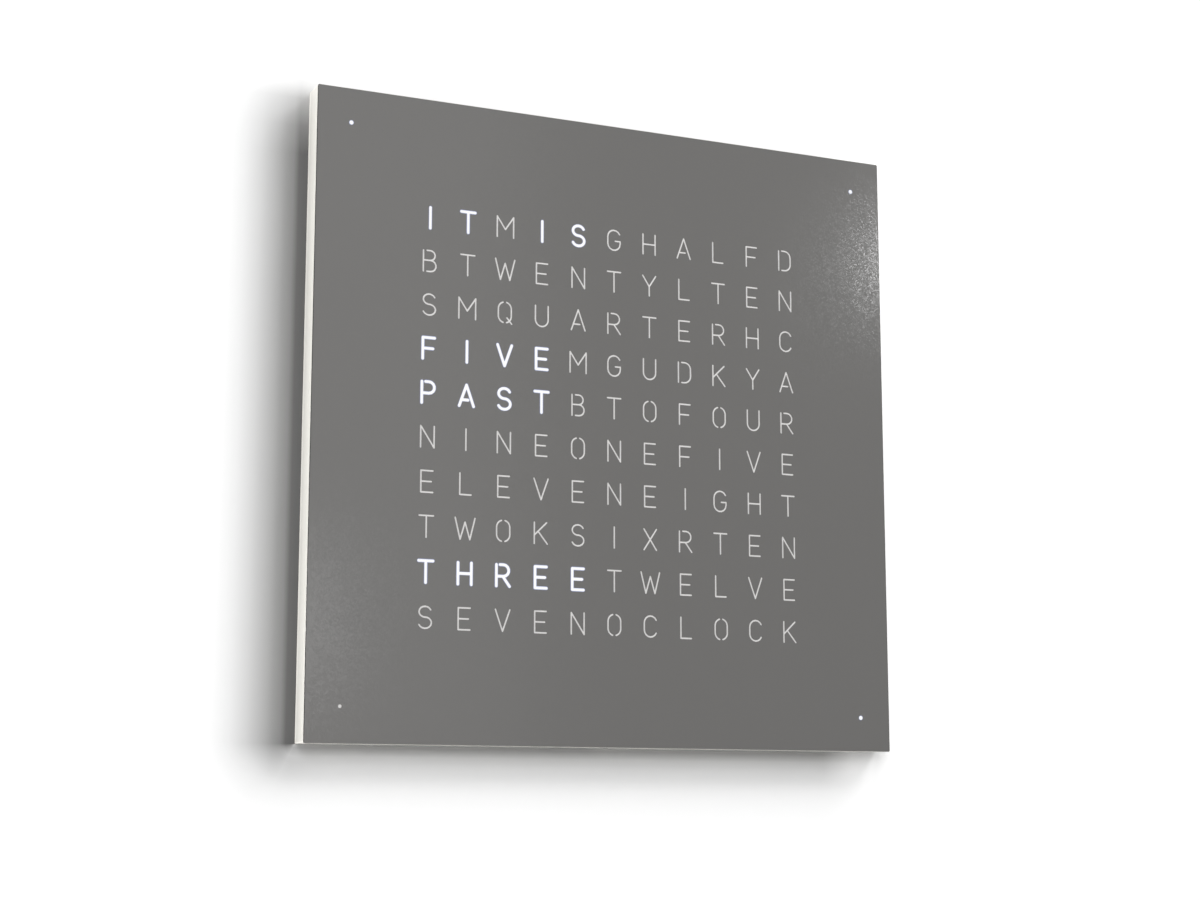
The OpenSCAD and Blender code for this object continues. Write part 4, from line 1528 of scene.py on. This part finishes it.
@dataclass
class Controller:
    """The controller board with all that stands on it, and its leads."""

    top: float = 6.1
    capacitors: tuple[Point, ...] = ((185.0, 59.0), (196.0, 59.0))
    cell: Point = (190.0, 39.0)
    cell_floor: float = 1.2
    wire_x: float = 1.2
    wire_r: float = 0.8
    socket_y: float = -163.6
    socket_z: float = 9.1
    header: tuple[float, float, float] = (189.0, -77.0, 9.1)

    def build(self) -> None:
        """Builds the board and its parts."""
        mount(soften(merged_copy("circuit_board", "controller_board"), 0.15, 1, 40), Body.CASE, GREEN_BOARD,
              "controller_board")
        Chip("processor", "microcontroller", (186.0, 17.0), (10.0, 10.0, 1.4), 10, True).build()
        self._drivers()
        self._capacitors()
        self._cell()
        self._solder_points()
        self._leads()
        for name, node, width, finish in (
                ("spacers", "board_standoffs", 0.2, WHITE_PLASTIC),
                ("headers", "board_headers", 0.35, WHITE_PLASTIC),
                ("switch_boxes", "button_switches", 0.3, BLACK_PLASTIC)):
            mount(soften(merged_copy(name, node), width, 2, 30), Body.CASE, finish, node)
        mount(soften(merged_copy("ribbon", "ribbon_cable"), 0.42, 3, 30), Body.CASE, RIBBON, "ribbon_cable",
              slot="grey_cable")

    def _drivers(self) -> None:
        """Sets the three driver chips, of which the first stands for all in the CAD."""
        for k, name in enumerate(("first_driver", "second_driver", "third_driver")):
            Chip(name, "driver_chips", (184.0, -5.0 - 16.0 * k), (8.0, 6.0, 1.5), 7, False).build()

    def _capacitors(self) -> None:
        """Turns the capacitors: a sleeved can, and a scored top."""
        can = turned("can", Vector((0, 0, 0)), Axis.OFF_WALL, [
            (3.7, 0), (3.9, 0.2), (3.9, 1.1), (3.62, 1.4), (3.62, 1.7), (4.0, 2.1), (4.0, 9.5), (3.86, 9.8),
            (3.6, 9.95), (3.3, 9.9), (3.2, 9.7)], 32)
        places = spots(self.capacitors, self.top)
        mount(copies("capacitor_cans", can, places), Body.CASE, SLEEVE, "capacitors")
        lid = turned("lid", Vector((0, 0, 0)), Axis.OFF_WALL, [
            (3.3, 9.4), (3.3, 9.72), (3.1, 9.86), (0.3, 9.86)], 32)
        bars = [add_block("bar", hang(-a, -b, 9.8), hang(a, b, 10.2))
                for a, b in ((2.5, 0.12), (0.12, 2.5))]
        cut_with(lid, join("bars", bars))
        mount(copies("capacitor_lids", lid, places), Body.CASE, NICKEL)

    def _cell(self) -> None:
        """Builds the coin cell, its holder and the spring over it."""
        x, y = self.cell
        cell = turned("button_cell", hang(x, y, self.top + self.cell_floor), Axis.OFF_WALL, [
            (8.4, 0), (8.7, 0.2), (8.8, 0.45), (9.6, 0.5), (9.95, 0.8), (10, 1.2), (10, 2.8), (9.88, 3.08),
            (9.6, 3.2), (9.2, 3.2), (9.1, 3.14), (0.5, 3.14)], 64)
        mount(cell, Body.CASE, NICKEL, "coin_cell")
        mount(soften(merged_copy("cell_cup", "coin_cell_holder"), 0.25, 2, 30), Body.CASE, BLACK_PLASTIC,
              "coin_cell_holder")
        high = self.top + self.cell_floor + 3.22
        spring = add_block("cell_spring", hang(x - 10.4, y - 1.8, high),
                           hang(x + 7.4, y + 1.8, high + 0.25))
        with editing(spring, "EDGE"):
            select_edges(spring, lambda a, b: abs(a.y - b.y) > 0.1 * MM)
            bpy.ops.mesh.bevel(offset=1.2 * MM, segments=4)
        mount(soften(spring, 0.06, 1, 40), Body.CASE, BRIGHT_STEEL)

    def _solder_points(self) -> None:
        """Lays rows of small solder points along the board."""
        point = turned("point", Vector((0, 0, 0)), Axis.OFF_WALL, [
            (0.55, 0), (0.5, 0.08), (0.28, 0.22), (0.1, 0.26)], 10)
        rows = [(174.6 + 2.0 * c, y) for y in (28.0 - 2.0 * k for k in range(2)) for c in range(2)]
        rows += [(193.0 + 2.54 * c, -2.54 * k - 50.0) for c in range(3) for k in range(8)]
        rows += [(198.5, 30.0 - 2.54 * k) for k in range(16) if k > 1]
        rows += [(183.0 + 2.54 * k, -58.0) for k in range(4)] + [(176.5, 66.0 - 2.54 * k) for k in range(9)]
        mount(copies("solder_points", point, spots(rows, self.top)), Body.CASE, SOLDER, slot="nickel")

    def _leads(self) -> None:
        """Bends the two wires from the socket to the power header."""
        for side, name, finish in ((-1, "dark_lead", BLACK_PLASTIC), (1, "red_lead", RED_WIRE)):
            x = side * self.wire_x
            y, right = self.socket_y + 2 - x, self.header[0] + x
            corners = [hang(x, self.socket_y, self.socket_z), hang(x, y, self.socket_z),
                       hang(right, y, self.header[2]), hang(right, self.header[1], self.header[2])]
            wire = tube(name, corners, self.wire_r, 0.7)
            mount(wire, Body.CASE, finish, "power_lead", slot="red_wire")


@dataclass
class Buttons:
    """The four push buttons in the right-hand side."""

    axis_z: float = 9.4
    start: float = 207.5
    places: tuple[tuple[Body, float], ...] = (
        (Body.HOURS, -13.0), (Body.MINUTES, -31.0), (Body.BRIGHTNESS, -49.0), (Body.MODE, -67.0))
    profile: tuple[Point, ...] = (
        (3.8, 0), (4.0, 0.2), (4.0, 1.0), (3.8, 1.2), (2.5, 1.2), (2.5, 16.75), (2.42, 17.02),
        (2.22, 17.22), (1.95, 17.3), (1.6, 17.27), (0.8, 17.13), (0.15, 17.1))

    def build(self) -> None:
        """Turns a plunger for each button."""
        for body, y in self.places:
            title = body.value.split("_")[0]
            base = hang(self.start, y, self.axis_z)
            plunger = turned(f"{title}_plunger", base, Axis.RIGHT, self.profile, 48)
            mount(plunger, body, BUTTON_PLASTIC, f"{title}_button")


# ---------------------------------------------------------------- the rest of the CAD


@dataclass
class CarriedNodes:
    """CAD nodes whose shape is right, each with its own finish."""

    def build(self) -> None:
        """Dresses every node by the material slot that it carries."""
        for name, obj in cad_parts.items():
            for holder in obj.material_slots:
                slot = holder.material.name.split(".")[0]
                holder.material = FINISHES[slot].material()
                LOG.info("%s keeps its own shape in %s", name, slot)


# ---------------------------------------------------------------- stage


@dataclass(frozen=True)
class Lamp:
    """A soft lamp: where it hangs, what it looks at, how big and how strong it is."""

    name: str
    place: Place
    target: Place
    size: Point
    watts: float

    def build(self) -> None:
        """Hangs the lamp."""
        light = bpy.data.lights.new(self.name, "AREA")
        light.shape = "RECTANGLE"
        light.size, light.size_y = self.size
        light.energy = self.watts
        obj = bpy.data.objects.new(self.name, light)
        bpy.context.scene.collection.objects.link(obj)
        obj.location = self.place
        way = Vector(self.target) - Vector(self.place)
        obj.rotation_euler = way.to_track_quat("-Z", "Y").to_euler()


@dataclass
class Studio:
    """The white wall that the clock hangs on, the floor, the lamps and the camera.

    Lengths are metres. Each paint is its grey and its own light. The stops paint the clock's shadow into
    the wall's grey and its own light, on top of the shadow that the lamps cast: how far it reaches past its
    right and upper ends, and from its left and lower sides.
    """

    wall_half: float = 3.0
    floor_z: float = -1.5
    ceiling_z: float = 1.7
    opening: float = 0.2242
    wall_y: float = 0.0003
    ambient: float = 0.05
    clock_half: float = 0.225
    shadow_reach: float = 0.064
    end_span: Point = (0.17, 0.25)
    wall_paint: Point = (0.90, 0.30)
    floor_paint: Point = (0.25, 0.8)
    camera_place: Place = (-0.65316, -1.40340, -0.27414)
    camera_way: Place = (0.41498, 0.89433, 0.16720)
    camera_lens: float = 65.30
    # The stops below paint the clock's shadow on the wall: where it ends, and how the wall's own light and
    # grey fall near the clock.
    right_end: tuple[Point, ...] = ((0.18, 1.0), (0.205, 0.5), (0.225, 0.45), (0.24, 0.0))
    top_end: tuple[Point, ...] = ((0.18, 1.0), (0.2, 0.9), (0.22, 0.65), (0.23, 0.3), (0.245, 0.0))
    left_lift: tuple[Point, ...] = ((0.033, 0.0), (0.045, 0.15), (0.063, 0.3))
    low_lift: tuple[Point, ...] = ((0.012, 0.0), (0.03, 0.22), (0.063, 0.28))
    left_shade: tuple[Point, ...] = (
        (0.002, 0.16), (0.006, 0.19), (0.01, 0.36), (0.02, 0.6), (0.033, 0.88), (0.063, 0.93))
    low_shade: tuple[Point, ...] = ((0.0, 0.8), (0.0025, 0.62), (0.008, 0.87), (0.036, 0.97))
    lamps: tuple[Lamp, ...] = (
        Lamp("high_right", (2.4, -2.0, 3.4), (0, 0, 0), (2.0, 2.0), 120),
        Lamp("far_right", (4.2, -1.6, 1.2), (0, 0, 0), (2.6, 3.0), 66),
        Lamp("front_left", (-1.3, -3.2, 0.9), (0, 0, 0), (2.0, 2.0), 59),
        Lamp("left_side", (-2.4, -0.35, -0.5), (-0.22, 0, 0), (0.4, 1.2), 38),
        Lamp("front_panel", (0.80, -2.9, 0.58), (0.80, 0, 0.58), (0.7, 1.65), 1.7),
        Lamp("right_glance", (1.895, -2.433, 0.920), (0.275, 0, 0.153), (0.13, 0.13), 1.8),
        Lamp("front_glance", (0.625, -2.882, 0.112), (-0.237, 0, -0.148), (0.13, 0.30), 0.40),
        Lamp("behind", (0.2, 2.4, 0.3), (0, 0, 0), (3.2, 3.2), 66),
    )

    def build(self) -> None:
        """Builds the stage."""
        self._wall()
        self._floor()
        self._world()
        self._camera()
        for lamp in self.lamps:
            lamp.build()

    def _painted_shadow(self, bench: Bench, colour: float, lift: float) -> tuple[Socket, Socket]:
        """Wires a painted shadow round the clock: the wall's grey is darkened and its own light lowered
        where the clock's shadow lies, on top of the shadow that the lamps cast.

        Args:
            bench: the material's tree.
            colour: the paint's grey.
            lift: its own light away from the shadow.

        Returns:
            Sockets for the own light and the grey.
        """
        math_node = bench.math
        apart = bench.add("ShaderNodeSeparateXYZ", {0: bench.place()})
        x, z = apart.outputs[0], apart.outputs[2]
        left, below = (math_node("MAXIMUM", math_node("SUBTRACT", -self.clock_half, along), 0.0)
                       for along in (x, z))
        squares = [math_node("MULTIPLY", gap, gap) for gap in (left, below)]
        near = math_node("SQRT", math_node("ADD", *squares))
        painted_shadow_on = math_node("MULTIPLY", bench.curve(x, *self.end_span, self.right_end),
                              bench.curve(z, *self.end_span, self.top_end))
        both = math_node("ADD", math_node("ADD", left, below), 1e-5)
        turn = bench.ramp(math_node("DIVIDE", below, both), 0.0, 0.66)
        back = math_node("SUBTRACT", 1.0, turn)
        levels = []
        for side, low in ((self.left_lift, self.low_lift), (self.left_shade, self.low_shade)):
            under = math_node("MULTIPLY", bench.curve(near, 0.0, self.shadow_reach, low), turn)
            beside = math_node("MULTIPLY", bench.curve(near, 0.0, self.shadow_reach, side), back)
            levels.append(math_node("ADD", under, beside))
        # shade darkens the wall's grey and own sets its own light near the clock: a painted shadow
        own, shade = (math_node("MULTIPLY", level, painted_shadow_on) for level in levels)
        away = math_node("SUBTRACT", 1.0, painted_shadow_on)
        own_light = math_node("ADD", own, math_node("MULTIPLY", away, lift))
        return own_light, math_node("MULTIPLY", colour, math_node("ADD", shade, away))

    def _material(self, name: str, colour: float, lift: float, painted_shadow_on: bool) -> bpy.types.Material:
        """Makes a stage material that is lifted towards white where it is seen itself.

        Args:
            name: the material's name.
            colour: its grey.
            lift: its own light away from the clock and its shadow.
            painted_shadow_on: whether the clock's shadow lies on it.

        Returns:
            The material.
        """
        material = bpy.data.materials.new(name)
        material.use_nodes = True
        bench = Bench(material.node_tree)
        bench.tree.nodes.clear()
        # on the wall, the grey and the own light carry a painted shadow round the clock
        own_light, paint = self._painted_shadow(bench, colour, lift) if painted_shadow_on else (lift, colour)
        uneven = bench.ramp(bench.noise(bench.place(), 400.0, 2.0), 0.3, 0.7, (0.99, 1.0))
        diffuse = bench.add("ShaderNodeBsdfDiffuse", {
            "Color": bench.grey(bench.math("MULTIPLY", uneven, paint))})
        path = bench.add("ShaderNodeLightPath")
        mirrored = bench.math(
            "MAXIMUM", path.outputs["Is Glossy Ray"], path.outputs["Is Transmission Ray"])
        seen = bench.math("MAXIMUM", path.outputs["Is Camera Ray"], mirrored)
        glow = bench.add("ShaderNodeEmission", {"Strength": bench.math("MULTIPLY", seen, own_light)})
        both = bench.add("ShaderNodeAddShader", {0: diffuse.outputs[0], 1: glow.outputs[0]})
        clear = bench.add("ShaderNodeBsdfTransparent")
        behind = bench.add("ShaderNodeNewGeometry").outputs["Backfacing"]
        mixed = bench.add("ShaderNodeMixShader", {0: behind, 1: both.outputs[0], 2: clear.outputs[0]})
        bench.add("ShaderNodeOutputMaterial", {"Surface": mixed.outputs[0]})
        return material

    def _wall(self) -> None:
        """Builds the wall, open behind the clock so that its back stays lit from behind."""
        bpy.ops.mesh.primitive_plane_add(size=2, location=(0, self.wall_y, 0), rotation=(math.pi / 2, 0, 0))
        wall = named("wall")
        with editing(wall):
            bpy.ops.mesh.select_all(action="SELECT")
            bpy.ops.mesh.inset(thickness=1 - self.opening)
            bpy.ops.mesh.delete(type="FACE")
        for vertex in wall.data.vertices:
            if abs(vertex.co.x) > 0.9:
                vertex.co.x *= self.wall_half
                vertex.co.z = self.ceiling_z if vertex.co.z > 0 else self.floor_z
        # the wall's material paints the clock's shadow round it
        wall.data.materials.append(self._material("wall_paint", *self.wall_paint, True))

    def _floor(self) -> None:
        """Lays the floor on both sides of the wall."""
        bpy.ops.mesh.primitive_plane_add(size=2 * self.wall_half, location=(0, 0, self.floor_z))
        floor = named("floor")
        floor.data.materials.append(self._material("floor_paint", *self.floor_paint, False))

    def _world(self) -> None:
        """Gives the room its even light, and a white look where it is seen itself."""
        world = bpy.data.worlds.new("room")
        bpy.context.scene.world = world
        world.use_nodes = True
        bench = Bench(world.node_tree)
        bench.tree.nodes.clear()
        path = bench.add("ShaderNodeLightPath")
        seen = bench.math("MAXIMUM", path.outputs["Is Camera Ray"], path.outputs["Is Transmission Ray"])
        strength = bench.ramp(seen, 0.0, 1.0, (self.ambient, 1.0))
        back = bench.add("ShaderNodeBackground", {"Color": (1, 1, 1, 1), "Strength": strength})
        bench.add("ShaderNodeOutputWorld", {"Surface": back.outputs[0]})

    def _camera(self) -> None:
        """Sets the camera where the photograph was taken from."""
        data = bpy.data.cameras.new("camera")
        data.sensor_width, data.lens = 36.0, self.camera_lens
        data.clip_start, data.clip_end = 0.01, 50.0
        camera = bpy.data.objects.new("camera", data)
        bpy.context.scene.collection.objects.link(camera)
        camera.location = self.camera_place
        camera.rotation_euler = Vector(self.camera_way).to_track_quat("-Z", "Y").to_euler()
        bpy.context.scene.camera = camera


def main() -> None:
    """Builds the stage and the clock, in order."""
    logging.basicConfig(level=logging.INFO, format="%(name)s: %(message)s")
    bpy.context.scene.view_settings.view_transform = "Standard"
    Studio().build()
    CarriedNodes().build()
    for part in (Case(), Fasteners(), LightPackages(), Controller(), Buttons(), Cover()):
        part.build()


if __name__ == "__main__":
    main()
